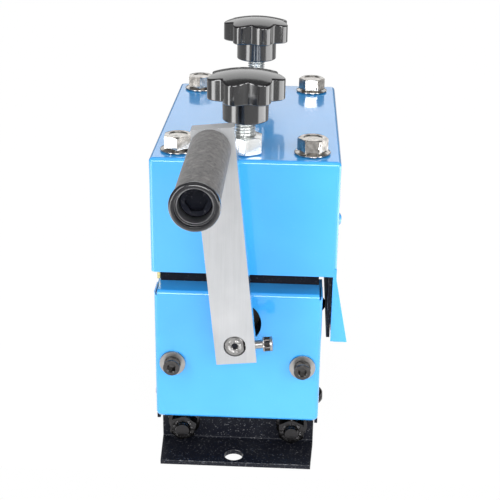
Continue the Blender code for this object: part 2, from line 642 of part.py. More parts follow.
def side_screws(base, black):
    """Button head screws into the frames' sides, the lower ones through the rails."""
    # The rear end is the front one turned round, so its upper screws change sides.
    for end, y, turned_side in (("front", FRAME_MID, 1), ("rear", BODY_LENGTH - FRAME_MID, -1)):
        for side_name, side in (("left", -1), ("right", 1)):
            rows = (
                ("lower", M5_BUTTON, LOWER_SIDE_SCREW_HEIGHT, RAIL_OUTER + GAP),
                ("upper", M4_BUTTON, UPPER_SCREW_HEIGHTS[side * turned_side], PANEL_WIDTH / 2 + GAP),
            )
            for row, sizes, height, seat in rows:
                shank = seat - FRAME_WIDTH / 2 + SIDE_SCREW_GRIP - OVERRUN
                screw = button_screw(f"{end}_side_screw_{side_name}_{row}", sizes, shank, black, base)
                seat_screw(screw, (side * seat, y, height), (side, 0, 0))


def cover(base, blue):
    """The folded upper cover. Its right wall hangs down as the exit guard, with a flared gusset at each end."""
    near = COVER_SETBACK
    far = COVER_SETBACK + COVER_LENGTH
    shell = block((-COVER_LEFT, COVER_RIGHT), (near, far), (GUARD_BOTTOM, COVER_TOP))
    folds = [edge for edge in shell.edges if any(vert.co.z > COVER_TOP - GAP for vert in edge.verts)]
    bmesh.ops.bevel(shell, geom=folds, offset=COVER_BEND, segments=CORNER_STEPS, profile=0.5, affect="EDGES")
    low = [edge for edge in shell.edges if all(vert.co.z < GUARD_BOTTOM + GAP for vert in edge.verts)]
    ends = [edge for edge in low if abs(edge.verts[0].co.y - edge.verts[1].co.y) < GAP]
    bmesh.ops.bevel(shell, geom=ends, offset=GUARD_CORNER, segments=1, profile=0.5, affect="EDGES")
    hood = piece("cover", shell, blue, base)
    left = -COVER_LEFT + COVER_SHEET
    right = COVER_RIGHT - COVER_SHEET
    inner_y = (near + COVER_SHEET, far - COVER_SHEET)
    cut(hood, block((left, right), inner_y, (GUARD_BOTTOM - OVERRUN, COVER_TOP - COVER_SHEET)))
    # Below the cover's rim only the right wall is left.
    below = (GUARD_BOTTOM - OVERRUN, COVER_BOTTOM)
    cut(hood, block((-COVER_LEFT - OVERRUN, right), (near - OVERRUN, far + OVERRUN), below))
    foot_height = GUARD_BOTTOM + GUSSET_LIFT
    inside_wall = COVER_RIGHT - COVER_SHEET / 2
    gusset = [
        (inside_wall, COVER_BOTTOM + GUSSET_RISE),
        (inside_wall, foot_height + GUARD_CORNER),
        (COVER_RIGHT, foot_height),
        (COVER_RIGHT + GUARD_FLARE, foot_height),
    ]
    for start in (near + GUSSET_INSET, far - GUSSET_INSET - GUSSET_SHEET):
        join(hood, prism(gusset, start, start + GUSSET_SHEET, "y"))
    window_y = (near + WINDOW_INSET, far - WINDOW_INSET)
    inlet = block((-COVER_LEFT - OVERRUN, left + OVERRUN), window_y, (COVER_BOTTOM - OVERRUN, LEFT_WINDOW_TOP))
    cut(hood, inlet)
    outlet_x = (right - OVERRUN, COVER_RIGHT + OVERRUN)
    cut(hood, block(outlet_x, window_y, (RIGHT_WINDOW_BOTTOM, RIGHT_WINDOW_TOP)))
    top_cut = (COVER_TOP - COVER_SHEET - OVERRUN, COVER_TOP + OVERRUN)
    for y in (FRAME_MID, BODY_LENGTH - FRAME_MID):
        cut(hood, moved(rod(ROD_RADIUS + ROD_CLEARANCE, *top_cut, "z"), x=TOP_ROW_SHIFT, y=y))
        for x in COVER_BOLT_PLACES:
            cut(hood, moved(rod(M8_RADIUS + M8_CLEARANCE, *top_cut, "z", SMALL_STEPS), x=x, y=y))
    for y in liner_screw_places():
        hole = rod(M4_BUTTON[0] + GAP, *outlet_x, "x", SMALL_STEPS)
        cut(hood, moved(hole, y=y, z=LINER_SCREW_HEIGHT))


def cover_bolts(base, zinc):
    """Hexagon flange bolts through the cover into the tops of the frames."""
    for end, y in (("front", FRAME_MID), ("rear", BODY_LENGTH - FRAME_MID)):
        for side_name, x in zip(("left", "right"), COVER_BOLT_PLACES):
            name = f"{end}_cover_bolt_{side_name}"
            bolt = hex_solid(name, COVER_BOLT_HEAD_AF, COVER_BOLT_HEAD_HEIGHT, zinc, base)
            join(bolt, flange_skirt(COVER_BOLT_FLANGE_RADIUS, COVER_BOLT_HEAD_AF))
            shank = COVER_BOLT_GRIP - OVERRUN
            join(bolt, rod(M8_RADIUS, -shank, OVERRUN, "z", SMALL_STEPS))
            bolt.location = (x, y, COVER_TOP + GAP)


def guide_plate(base, yellow_zinc):
    """The inlet plate, with a row of holes for the sizes of wire, over the frames' left sides."""
    outer = -FRAME_WIDTH / 2 - GAP
    bottom = GUIDE_HOLE_HEIGHT - GUIDE_BELOW_HOLES
    top = GUIDE_HOLE_HEIGHT + GUIDE_ABOVE_HOLES
    outline = rectangle(PANEL_SETBACK, BODY_LENGTH - PANEL_SETBACK, bottom, top)
    plate = piece("guide_plate", prism(outline, outer - GUIDE_SHEET, outer, "x"), yellow_zinc, base)
    first = BODY_LENGTH / 2 - GUIDE_HOLE_PITCH * (len(GUIDE_HOLE_RADII) - 1) / 2
    for index, radius in enumerate(GUIDE_HOLE_RADII):
        hole = rod(radius, outer - GUIDE_SHEET - OVERRUN, outer + OVERRUN, "x", SMALL_STEPS)
        cut(plate, moved(hole, y=first + index * GUIDE_HOLE_PITCH, z=GUIDE_HOLE_HEIGHT))


def liner_screw_places():
    inset = COVER_SETBACK + COVER_SHEET + LINER_SIDE_INSET + LINER_SCREW_INSET
    return inset, BODY_LENGTH - inset


def exit_liner(base, black, blue):
    """A dark wear plate on the inside of the exit guard, held by two screws through the cover's wall."""
    near = COVER_SETBACK + COVER_SHEET + LINER_SIDE_INSET
    far = BODY_LENGTH - near
    top = LINER_SCREW_HEIGHT + LINER_TOP_MARGIN
    bottom = GUARD_BOTTOM + LINER_BOTTOM_INSET
    outer = COVER_RIGHT - COVER_SHEET - GAP
    plate = piece("exit_liner", block((outer - LINER_SHEET, outer), (near, far), (bottom, top)), black, base)
    window_y = (COVER_SETBACK + WINDOW_INSET, BODY_LENGTH - COVER_SETBACK - WINDOW_INSET)
    window_z = (RIGHT_WINDOW_BOTTOM, RIGHT_WINDOW_TOP)
    cut(plate, block((outer - LINER_SHEET - OVERRUN, outer + OVERRUN), window_y, window_z))
    seat = COVER_RIGHT + GAP
    shank = seat - outer + LINER_SHEET
    for end, y in zip(("front", "rear"), liner_screw_places()):
        hole = rod(M4_BUTTON[0] + GAP, outer - LINER_SHEET - OVERRUN, outer + OVERRUN, "x", SMALL_STEPS)
        cut(plate, moved(hole, y=y, z=LINER_SCREW_HEIGHT))
        screw = button_screw(f"{end}_liner_screw", M4_BUTTON, shank, blue, base)
        seat_screw(screw, (seat, y, LINER_SCREW_HEIGHT), (1, 0, 0))


def lower_bushes(base, bronze):
    """Flanged bushes in the end frames carry the drive shaft."""
    bore = SHAFT_RADIUS + GAP
    outer = bore + BUSH_WALL
    start = PANEL_SETBACK - GAP - BUSH_FLANGE_WIDTH
    profile = [
        (bore, start),
        (BUSH_FLANGE_RADIUS, start),
        (BUSH_FLANGE_RADIUS, start + BUSH_FLANGE_WIDTH),
        (outer, start + BUSH_FLANGE_WIDTH),
        (outer, FRAME_INNER),
        (bore, FRAME_INNER),
    ]
    bush = piece("front_bush", turned(profile, "y", HOLE_STEPS, bored=True), bronze, base, (0, 0, SHAFT_HEIGHT))
    copy_of(bush, "rear_bush", (0, BODY_LENGTH, SHAFT_HEIGHT), math.pi)


def lock_nuts(base, zinc):
    for end, y in (("front", FRAME_MID), ("rear", BODY_LENGTH - FRAME_MID)):
        nut = hex_solid(f"{end}_lock_nut", LOCK_NUT_AF, LOCK_NUT_HEIGHT, zinc, base, both_ends=True)
        cut(nut, rod(ROD_RADIUS + GAP, -OVERRUN, LOCK_NUT_HEIGHT + OVERRUN, "z"))
        nut.location = (TOP_ROW_SHIFT, y, COVER_TOP + GAP)
        # One corner of each nut points to the front.
        nut.rotation_euler.z = math.pi / 6


# The crank, which turns with the drive shaft and the feed roller

def drive_train(crank, steel, aluminium):
    """In the crank's axes: the origin is on the shaft's axis, and Z runs up the arm."""
    rear_end = BODY_LENGTH - PANEL_SETBACK + SHAFT_REAR_STUB
    profile = [
        (0, ARM_FRONT),
        (SHAFT_NOSE_RADIUS, ARM_FRONT),
        (SHAFT_NOSE_RADIUS, ARM_BACK + GAP),
        (SHAFT_RADIUS, ARM_BACK + GAP),
        (SHAFT_RADIUS, rear_end),
        (0, rear_end),
    ]
    shaft = piece("drive_shaft", turned(profile, "y", HOLE_STEPS), steel, crank)
    flat = SHAFT_NOSE_RADIUS - SHAFT_FLAT
    reach = SHAFT_RADIUS + OVERRUN
    cut(shaft, block((flat, reach), (ARM_FRONT - OVERRUN, ARM_BACK), (-reach, reach)))
    socket = prism(hexagon(SHAFT_SOCKET_AF), ARM_FRONT - OVERRUN, ARM_FRONT + SHAFT_SOCKET_DEPTH, "y")
    cut(shaft, socket)
    feed_roller(crank, steel)
    crank_arm(crank, aluminium)
    screw_seat = ARM_WIDTH / 2 + CLAMP_NECK
    screw = cap_screw("clamp_screw", M4_CAP, screw_seat - flat - GAP, steel, crank)
    seat_screw(screw, (screw_seat, ARM_BACK - ARM_THICKNESS / 2, -CLAMP_DROP), (1, 0, 0))
    handle_pin(crank, steel)


def feed_roller(crank, steel):
    """A sleeve on the drive shaft, with a groove under each cutter."""
    start = FRAME_INNER + ROLLER_END_GAP
    end = BODY_LENGTH - start
    bore = SHAFT_RADIUS + GAP
    profile = [(bore, start), (ROLLER_RADIUS - ROLLER_CHAMFER, start), (ROLLER_RADIUS, start + ROLLER_CHAMFER)]
    for middle in CUTTER_SEATS:
        profile += [
            (ROLLER_RADIUS, middle - GROOVE_WIDTH / 2),
            (ROLLER_RADIUS - GROOVE_DEPTH, middle - CUTTER_EDGE),
            (ROLLER_RADIUS - GROOVE_DEPTH, middle + CUTTER_EDGE),
            (ROLLER_RADIUS, middle + GROOVE_WIDTH / 2),
        ]
    profile += [(ROLLER_RADIUS, end - ROLLER_CHAMFER), (ROLLER_RADIUS - ROLLER_CHAMFER, end), (bore, end)]
    piece("feed_roller", turned(profile, "y", bored=True), steel, crank)


def crank_arm(crank, aluminium):
    """A flat bar, bored for the shaft and the handle's pin, and drilled from the side for the clamp screw."""
    half = ARM_WIDTH / 2
    bar = prism(rectangle(-half, half, -ARM_BELOW_SHAFT, ARM_THROW + ARM_ABOVE_PIN), ARM_FRONT, ARM_BACK, "y")
    bmesh.ops.bevel(bar, geom=bar.edges[:], offset=ARM_CHAMFER, segments=1, profile=0.5, affect="EDGES")
    arm = piece("crank_arm", bar, aluminium, crank)
    through = (ARM_FRONT - OVERRUN, ARM_BACK + OVERRUN)
    cut(arm, rod(SHAFT_NOSE_RADIUS + GAP, *through, "y", ROUND_STEPS))
    cut(arm, moved(rod(PIN_RADIUS + GAP, *through, "y"), x=PIN_OFFSET, z=ARM_THROW))
    side_hole = rod(M4_CAP[0] + GAP, SHAFT_NOSE_RADIUS - SHAFT_FLAT, half + OVERRUN, "x", SMALL_STEPS)
    cut(arm, moved(side_hole, y=ARM_BACK - ARM_THICKNESS / 2, z=-CLAMP_DROP))


def handle_pin(crank, steel):
    """The bolt that the grip turns on: a head in the grip's mouth, and a tail peened behind the arm."""
    head_seat = GRIP_NEAR_END + GRIP_MOUTH_DEPTH - GAP
    head_top = head_seat - PIN_HEAD_HEIGHT
    tail = ARM_BACK + GAP
    profile = [
        (0, head_top),
        (PIN_HEAD_RADIUS, head_top),
        (PIN_HEAD_RADIUS, head_seat),
        (PIN_RADIUS, head_seat),
        (PIN_RADIUS, tail),
        (PIN_RADIUS + PIN_TAIL, tail),
        (PIN_RADIUS, tail + PIN_TAIL),
        (0, tail + PIN_TAIL),
    ]
    pin = piece("handle_pin", turned(profile, "y", HOLE_STEPS), steel, crank, (PIN_OFFSET, 0, ARM_THROW))
    slot = prism(hexagon(PIN_RADIUS * 2), head_top - OVERRUN, head_top + PIN_HEAD_HEIGHT / 2, "y")
    cut(pin, slot)


def grip(spin, rubber):
    """A tubular grip that turns on the pin, with an open mouth at its near end."""
    bore = PIN_RADIUS + GAP
    corner = [
        (GRIP_BEAD_RADIUS - GRIP_ROUND * (1 - math.sin(turn)), GRIP_NEAR_END + GRIP_ROUND * (1 - math.cos(turn)))
        for turn in (0.0, math.pi / 4, math.pi / 2)
    ]
    bead_end = GRIP_NEAR_END + GRIP_BEAD_LENGTH
    profile = [
        (GRIP_MOUTH_RADIUS, GRIP_NEAR_END + GRIP_MOUTH_DEPTH),
        (GRIP_MOUTH_RADIUS, GRIP_NEAR_END),
        *corner,
        (GRIP_BEAD_RADIUS, bead_end - GRIP_ROUND / 2),
        (GRIP_RADIUS, bead_end),
        (GRIP_RADIUS, GRIP_FAR_END - GRIP_ROUND / 2),
        (GRIP_RADIUS - GRIP_ROUND / 2, GRIP_FAR_END),
        (bore, GRIP_FAR_END),
        (bore, GRIP_NEAR_END + GRIP_MOUTH_DEPTH),
    ]
    piece("grip", turned(profile, "y", ROUND_STEPS, bored=True), rubber, spin)


# The cutter head, which slides up and down in the frames

def bearing_block(carriage, steel, end, shift):
    """In the carriage's axes: the origin is on the cutter shaft's axis, at the front panel's face."""
    half = BLOCK_WIDTH / 2
    top = BLOCK_HALF_HEIGHT
    start = PANEL_SETBACK
    outline = rectangle(-half, half, -top, top)
    slide = prism(outline, start, FRAME_INNER + GAP + OVERRUN, "y")
    main = piece(f"{end}_bearing_block", slide, steel, carriage)
    lip = rectangle(-half - BLOCK_LIP, half + BLOCK_LIP, -top, top)
    inner = FRAME_INNER + GAP
    join(main, prism(lip, inner, inner + BLOCK_LIP_THICKNESS, "y"))
    through = (start - OVERRUN, inner + BLOCK_LIP_THICKNESS + OVERRUN)
    cut(main, rod(CUTTER_SHAFT_RADIUS + GAP, *through, "y"))
    # A slot shaped like a T holds the rod's collar.
    collar_half = ROD_COLLAR_RADIUS + GAP
    collar_top = top - ROD_COLLAR_COVERED
    slot = (start - OVERRUN, FRAME_MID + collar_half)
    pocket = (collar_top - ROD_COLLAR_HEIGHT - 2 * GAP, collar_top)
    cut(main, block((shift - collar_half, shift + collar_half), slot, pocket))
    neck = ROD_RADIUS + GAP
    cut(main, block((shift - neck, shift + neck), (slot[0], FRAME_MID + neck), (pocket[0], top + OVERRUN)))
    at_end(main, end)


def cutter_shaft(spindle, steel):
    """The cutters' shaft, with spacer collars turned on it, and three round cutters."""
    inner = FRAME_INNER + GAP + BLOCK_LIP_THICKNESS + GAP
    profile = [
        (0, PANEL_SETBACK),
        (CUTTER_SHAFT_RADIUS, PANEL_SETBACK),
        (CUTTER_SHAFT_RADIUS, inner),
        (SPACER_RADIUS, inner),
    ]
    for middle in CUTTER_SEATS:
        low = middle - CUTTER_THICKNESS / 2 - GAP
        high = middle + CUTTER_THICKNESS / 2 + GAP
        profile += [(SPACER_RADIUS, low), (CUTTER_SHAFT_RADIUS, low)]
        profile += [(CUTTER_SHAFT_RADIUS, high), (SPACER_RADIUS, high)]
    far = BODY_LENGTH - inner
    end = BODY_LENGTH - PANEL_SETBACK
    profile += [(SPACER_RADIUS, far), (CUTTER_SHAFT_RADIUS, far), (CUTTER_SHAFT_RADIUS, end), (0, end)]
    piece("cutter_shaft", turned(profile, "y", HOLE_STEPS), steel, spindle)
    bore = CUTTER_SHAFT_RADIUS + GAP
    half = CUTTER_THICKNESS / 2
    flank = CUTTER_RADIUS - CUTTER_BEVEL
    edge = CUTTER_EDGE / 2
    ring = [(CUTTER_RADIUS, -edge), (CUTTER_RADIUS, edge)]
    disc = [(bore, -half), (flank, -half), *ring, (flank, half), (bore, half)]
    for number, middle in enumerate(CUTTER_SEATS, 1):
        piece(f"cutter_{number}", turned(disc, "y", HOLE_STEPS, bored=True), steel, spindle, (0, middle, 0))


def adjusting_rod(turn_axis, end, steel, rise):
    """In the knob's axes: the origin is on the rod's axis, at the height of the cutter shaft."""
    collar_top = BLOCK_HALF_HEIGHT - ROD_COLLAR_COVERED - GAP
    low = collar_top - ROD_COLLAR_HEIGHT
    high = COVER_TOP + rise + ROD_IN_KNOB - CUTTER_HEIGHT
    profile = [
        (0, low),
        (ROD_COLLAR_RADIUS, low),
        (ROD_COLLAR_RADIUS, collar_top),
        (ROD_RADIUS, collar_top),
        (ROD_RADIUS, high - ROD_CHAMFER),
        (ROD_RADIUS - ROD_CHAMFER, high),
        (0, high),
    ]
    piece(f"{end}_adjusting_rod", turned(profile, "z", HOLE_STEPS), steel, turn_axis)


def lobe_outline(inset):
    """The star head's outline, drawn in by an inset."""
    count = KNOB_LOBES * KNOB_STEPS_PER_LOBE
    for step in range(count):
        turn = 2 * math.pi * step / count
        lobe = (0.5 + 0.5 * math.cos(KNOB_LOBES * turn)) ** KNOB_LOBE_POWER
        radius = KNOB_VALLEY_RADIUS + (KNOB_RADIUS - KNOB_VALLEY_RADIUS) * lobe - inset
        yield radius * math.cos(turn), radius * math.sin(turn)


def star_knob(turn_axis, end, black, turn, rise):
    """A seven-lobed knob: a round hub below, the lobed head above it, under one broad dome."""
    bottom = COVER_TOP + rise - CUTTER_HEIGHT
    head = bottom + KNOB_HUB_HEIGHT
    top = head + KNOB_HEAD_HEIGHT

    def dome(reach):
        return KNOB_DOME * (1 - (reach / KNOB_RADIUS) ** 2)

    levels = (
        (KNOB_ROUND, head, False),
        (0.0, head + KNOB_ROUND, False),
        (0.0, top - KNOB_ROUND, True),
        (KNOB_ROUND, top, True),
    )
    bm = bmesh.new()
    rings = [
        [bm.verts.new((x, y, height + (dome(math.hypot(x, y)) if domed else 0.0))) for x, y in lobe_outline(inset)]
        for inset, height, domed in levels
    ]
    crown = KNOB_VALLEY_RADIUS - KNOB_ROUND
    for share in KNOB_DOME_SHARES:
        height = top + dome(crown * share)
        directions = [vert.co.xy.normalized() for vert in rings[0]]
        rings.append([bm.verts.new((*(way * crown * share), height)) for way in directions])
    for low, high in zip(rings, rings[1:]):
        for index in range(len(low)):
            after = (index + 1) % len(low)
            bm.faces.new((low[index], low[after], high[after], high[index]))
    bm.faces.new(rings[-1])
    bm.faces.new(reversed(rings[0]))
    bmesh.ops.recalc_face_normals(bm, faces=bm.faces)
    knob = piece(f"{end}_knob", bm, black, turn_axis, turn=turn)
    join(knob, rod(KNOB_HUB_RADIUS, bottom, head + OVERRUN, "z", ROUND_STEPS))
    cut(knob, rod(ROD_RADIUS + GAP, bottom - OVERRUN, bottom + ROD_IN_KNOB + GAP, "z"))


def main():
    for old in list(bpy.data.objects):
        bpy.data.objects.remove(old)
    blue = material("blue_enamel", (0.09, 0.45, 0.86), 0.28)
    black = material("black_paint", (0.02, 0.02, 0.022), 0.5)
    steel = material("steel", (0.62, 0.62, 0.63), 0.35, 1.0)
    zinc = material("bright_zinc", (0.74, 0.74, 0.72), 0.25, 1.0)
    yellow_zinc = material("yellow_zinc", (0.75, 0.58, 0.22), 0.35, 1.0)
    bronze = material("bronze", (0.50, 0.33, 0.14), 0.4, 1.0)
    aluminium = material("brushed_aluminium", (0.72, 0.72, 0.73), 0.4, 1.0)
    plastic = material("black_plastic", (0.012, 0.012, 0.014), 0.22)
    rubber = material("rubber", (0.04, 0.038, 0.036), 0.75)

    # The whole object's box stands with the middle of its foot on the origin.
    base = axis_empty("wire_stripper", None, (-X_MIDDLE, -Y_MIDDLE, 0))
    # Seen from its own side, the top row of the rear end is shifted the other way.
    shifts = (("front", TOP_ROW_SHIFT), ("rear", -TOP_ROW_SHIFT))
    for end, shift in shifts:
        end_frame(base, black, end, shift)
    foot(base, black)
    foot_fasteners(base, black)
    lower_panel(base, blue)
    panel_screws(base, steel)
    side_rails(base, black)
    side_screws(base, black)
    cover(base, blue)
    cover_bolts(base, zinc)
    guide_plate(base, yellow_zinc)
    exit_liner(base, black, blue)
    lower_bushes(base, bronze)
    lock_nuts(base, zinc)

    crank = axis_empty("crank_axis", base, (0, 0, SHAFT_HEIGHT), (0, CRANK_LEAN, 0))
    drive_train(crank, steel, aluminium)
    spin = axis_empty("grip_axis", crank, (PIN_OFFSET, 0, ARM_THROW))
    grip(spin, rubber)

    carriage = axis_empty("carriage", base, (0, 0, CUTTER_HEIGHT))
    for end, shift in shifts:
        bearing_block(carriage, steel, end, shift)
    spindle = axis_empty("cutter_axis", carriage, (0, 0, 0))
    cutter_shaft(spindle, steel)
    knobs = (
        ("front", FRAME_MID, FRONT_KNOB_TURN, FRONT_KNOB_RISE),
        ("rear", BODY_LENGTH - FRAME_MID, REAR_KNOB_TURN, REAR_KNOB_RISE),
    )
    for end, y, turn, rise in knobs:
        turn_axis = axis_empty(f"{end}_knob_axis", carriage, (TOP_ROW_SHIFT, y, 0))
        adjusting_rod(turn_axis, end, steel, rise)
        star_knob(turn_axis, end, plastic, turn, rise)


main()
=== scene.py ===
"""A bench wire stripping machine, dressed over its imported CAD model.

Shapes are drawn in the machine's own layout, in millimetres: X is zero on the drive shaft, Y on the front
panel's face and Z on the bench. Each finished piece is then carried to the frame's place, in metres.
"""

import math

import bmesh
import bpy
from mathutils import Matrix, Vector


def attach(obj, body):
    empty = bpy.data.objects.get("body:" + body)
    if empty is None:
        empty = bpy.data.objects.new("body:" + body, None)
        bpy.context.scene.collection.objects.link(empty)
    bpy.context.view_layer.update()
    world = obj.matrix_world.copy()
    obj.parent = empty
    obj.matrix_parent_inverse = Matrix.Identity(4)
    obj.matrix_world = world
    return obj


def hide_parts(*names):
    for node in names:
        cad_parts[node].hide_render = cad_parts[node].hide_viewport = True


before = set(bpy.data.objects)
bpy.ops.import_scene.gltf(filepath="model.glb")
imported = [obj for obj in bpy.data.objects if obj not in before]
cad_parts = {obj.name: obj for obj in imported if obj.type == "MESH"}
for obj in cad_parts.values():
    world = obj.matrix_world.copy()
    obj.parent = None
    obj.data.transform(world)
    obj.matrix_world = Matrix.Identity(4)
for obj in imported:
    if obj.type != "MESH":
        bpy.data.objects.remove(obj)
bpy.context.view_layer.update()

bl_info = {
    "name": "Wire stripping machine",
    "version": (1, 0, 0),
    "blender": (4, 5, 0),
    "location": "View3D > Sidebar > Wire Stripper",
    "description": "Dresses a bench wire stripping machine: covers, crank, knobs and fasteners",
    "category": "Object",
}

# The layout, in millimetres, as the solids have it
ORIGIN = (5.125, 36.65)
BODY_LENGTH = 162.0
GAP = 0.3
OVERRUN = 1.0
SHAFT_HEIGHT = 76.0

# End frames, and the rails that tie them
FRAME_HALF = 40.0
FRAME_NEAR = 13.8
FRAME_MID = 19.8
FRAME_INNER = 25.8
RAIL_BOTTOM = 17.7
RAIL_TOP = 31.7
RAIL_NEAR = 40.3
RAIL_FAR = 41.8
HOLE_HEIGHT = 98.8

# Cover, with its guard over the exit
COVER_LEFT = -44.0
COVER_RIGHT = 48.5
COVER_NEAR = 6.0
COVER_FAR = 156.0
COVER_BOTTOM = 100.2
COVER_TOP = 159.5
COVER_SHEET = 1.8
COVER_WINDOW_INSET = 30.0
COVER_BOLT_HOLE = 4.4
ROD_HOLE = 5.3
INLET_TOP = 119.0
EXIT_WINDOW = (94.0, 117.0)
GUARD_BOTTOM = 64.0
GUARD_FLARE = 6.6
GUARD_CORNER = 1.5
GUSSET_SHEET = 1.6
TOP_ROW_X = 1.8
TOP_ROW_SPAN = 65.5

# Lower panels
PANEL_HALF = 42.0
PANEL_SHEET = 1.7
PANEL_BOTTOM = 20.7
PANEL_TOP = 92.5
PANEL_DEPTH = 27.0
PANEL_LIP_DEPTH = 13.5
PANEL_LIP_BOTTOM = 89.7
PANEL_RETURN = 6.0
PANEL_NOTCH_BOTTOM = 91.4
PANEL_CORNER = 3.0
PANEL_SCREW_HEIGHT = 52.8
PANEL_SCREW_SPAN = 66.0
SHAFT_OPENING = 11.8
SLIT_WIDTH = 0.9
SLIT_BOTTOM = 90.05
SLIT_ROUND = 0.4

# Feet
FOOT_SHEET = 2.5
FOOT_EDGE = -12.6
FOOT_BACK = 13.5
FOOT_TOP = 27.0
FOOT_BEND = 3.5
FOOT_TAPER = 1.4
FOOT_BOLT_HEIGHT = 12.2
FOOT_BOLT_SPAN = 57.0
FOOT_BOLT_SEAT = 10.7

# Screws in the sides
LOWER_SCREW_HEIGHT = 25.5
UPPER_SCREW_DROPS = (13.4, 19.6)
LINER_SCREW_INSET = 23.8

# Cutters and knobs
CUTTER_HEIGHT = 120.0
CUTTER_SEATS = (53.8, 79.8, 106.8)
KNOB_RISES = {"front": 16.5, "rear": 19.0}

# Crank, with its clamp screw, its pin and the grip on the pin
CRANK_LEAN = math.radians(-5.8)
ARM_FRONT = -25.0
ARM_BACK = -17.0
ARM_THROW = 99.0
CLAMP_PLACE = -21.0
CLAMP_DROP = 1.6
PIN_OFFSET = -1.6
PIN_END = -16.7
GRIP_NEAR = -101.3
GRIP_FAR = -25.3
GRIP_BORE = 4.3

# How large, how compact and how even a flat region is, to be kept exactly flat
FLAT_AREA = 25.0
COMPACT_SHARE = 0.03
FLATNESS = 0.002


# Shader and geometry sums, written as plain expressions

class Term:
    """A socket in a node tree. The plain operators on it add the Math nodes."""

    def __init__(self, tree, socket):
        self.tree = tree
        self.socket = socket

    def math(self, operation, *others):
        node = self.tree.nodes.new("ShaderNodeMath")
        node.operation = operation
        for slot, value in zip(node.inputs, (self, *others)):
            feed(self.tree, slot, value)
        return Term(self.tree, node.outputs[0])

    def __add__(self, other):
        return self.math("ADD", other)

    def __sub__(self, other):
        return self.math("SUBTRACT", other)

    def __rsub__(self, other):
        return (self * -1.0) + other

    def __mul__(self, other):
        return self.math("MULTIPLY", other)

    def __truediv__(self, other):
        return self.math("DIVIDE", other)

    def __pow__(self, other):
        return self.math("POWER", other)

    __radd__ = __add__
    __rmul__ = __mul__

    def cos(self):
        return self.math("COSINE")

    def above(self, edge, width):
        """Zero below the edge, one above edge + width, and straight between."""
        node = self.tree.nodes.new("ShaderNodeMapRange")
        node.clamp = True
        for slot, value in zip(node.inputs, (self, edge, edge + width, 0.0, 1.0)):
            feed(self.tree, slot, value)
        return Term(self.tree, node.outputs[0])


def feed(tree, slot, value):
    """Links a term to a socket, or sets a plain value on it."""
    if isinstance(value, Term):
        tree.links.new(value.socket, slot)
    elif isinstance(value, bpy.types.NodeSocket):
        tree.links.new(value, slot)
    else:
        slot.default_value = value


def add_node(tree, kind, settings=None, values=None):
    """One node: its settings first, then the values or links of its sockets, by name or by place."""
    node = tree.nodes.new(kind)
    for name, value in (settings or {}).items():
        setattr(node, name, value)
    for name, value in (values or {}).items():
        feed(tree, node.inputs[name], value)
    return node


class Finish:
    """A material under construction."""

    def __init__(self, name, colour, roughness, metallic=0.0, **constants):
        self.material = bpy.data.materials.new(name)
        self.material.use_nodes = True
        self.material.diffuse_color = (*colour, 1.0)
        self.tree = self.material.node_tree
        self.shader = self.tree.nodes["Principled BSDF"]
        self.set("Base Color", (*colour, 1.0))
        self.set("Roughness", roughness)
        self.set("Metallic", metallic)
        for socket, value in constants.items():
            self.set(socket.replace("_", " "), value)
        self.place = add_node(self.tree, "ShaderNodeTexCoord").outputs["Object"]

    def set(self, socket, value):
        feed(self.tree, self.shader.inputs[socket], value)

    def stretched(self, scale, turn=(0.0, 0.0, 0.0), about=(0.0, 0.0, 0.0)):
        """Object coordinates, moved to a centre, turned and stretched."""
        values = {0: self.place, 1: about}
        centred = add_node(self.tree, "ShaderNodeVectorMath", {"operation": "SUBTRACT"}, values)
        values = {0: centred.outputs[0], 2: turn, 3: scale}
        return add_node(self.tree, "ShaderNodeMapping", None, values).outputs[0]

    def noise(self, scale, detail=2.0, rough=0.5, where=None):
        values = {"Vector": where or self.place, "Scale": scale, "Detail": detail, "Roughness": rough}
        return Term(self.tree, add_node(self.tree, "ShaderNodeTexNoise", None, values).outputs[0])

    def cells(self, scale):
        values = {"Vector": self.place, "Scale": scale}
        return Term(self.tree, add_node(self.tree, "ShaderNodeTexVoronoi", None, values).outputs["Distance"])

    def mix(self, factor, low, high):
        """A blend of two colours, each a plain one or a socket."""
        node = add_node(self.tree, "ShaderNodeMix", {"data_type": "RGBA"}, {0: factor})
        for slot, value in ((6, low), (7, high)):
            linked = isinstance(value, (Term, bpy.types.NodeSocket))
            feed(self.tree, node.inputs[slot], value if linked else (*value, 1.0))
        return node.outputs[2]

    def bump(self, height, distance, strength=1.0):
        values = {"Strength": strength, "Distance": distance, "Height": height}
        self.set("Normal", add_node(self.tree, "ShaderNodeBump", None, values).outputs[0])


# Materials

def enamel(name, colour, worn=False):
    """Glossy enamel with a faint orange peel. A worn one has paler rubbed spots, as along an edge."""
    paint = Finish(name, colour, 0.22, Coat_Weight=0.9, Coat_Roughness=0.04)
    cloud = paint.noise(14.0, 3.0)
    pale = tuple(min(1.0, part * 1.06 + 0.012) for part in colour)
    deep = tuple(part * 0.95 for part in colour)
    base = paint.mix(cloud.above(0.35, 0.3), deep, pale)
    if worn:
        rub = paint.noise(420.0, 4.0, 0.7).above(0.60, 0.08)
        base = paint.mix(rub * 0.5, base, (0.50, 0.72, 0.88))
    speck = 1.0 - paint.cells(330.0).above(0.035, 0.03)
    base = paint.mix(speck * 0.10, base, (0.75, 0.85, 0.92))
    paint.set("Base Color", base)
    paint.set("Roughness", 0.20 + paint.noise(60.0, 2.0) * 0.08)
    paint.bump(paint.noise(900.0, 2.0, 0.4) + paint.noise(160.0, 1.0) * 0.6, 0.00006, 0.5)
    return paint.material


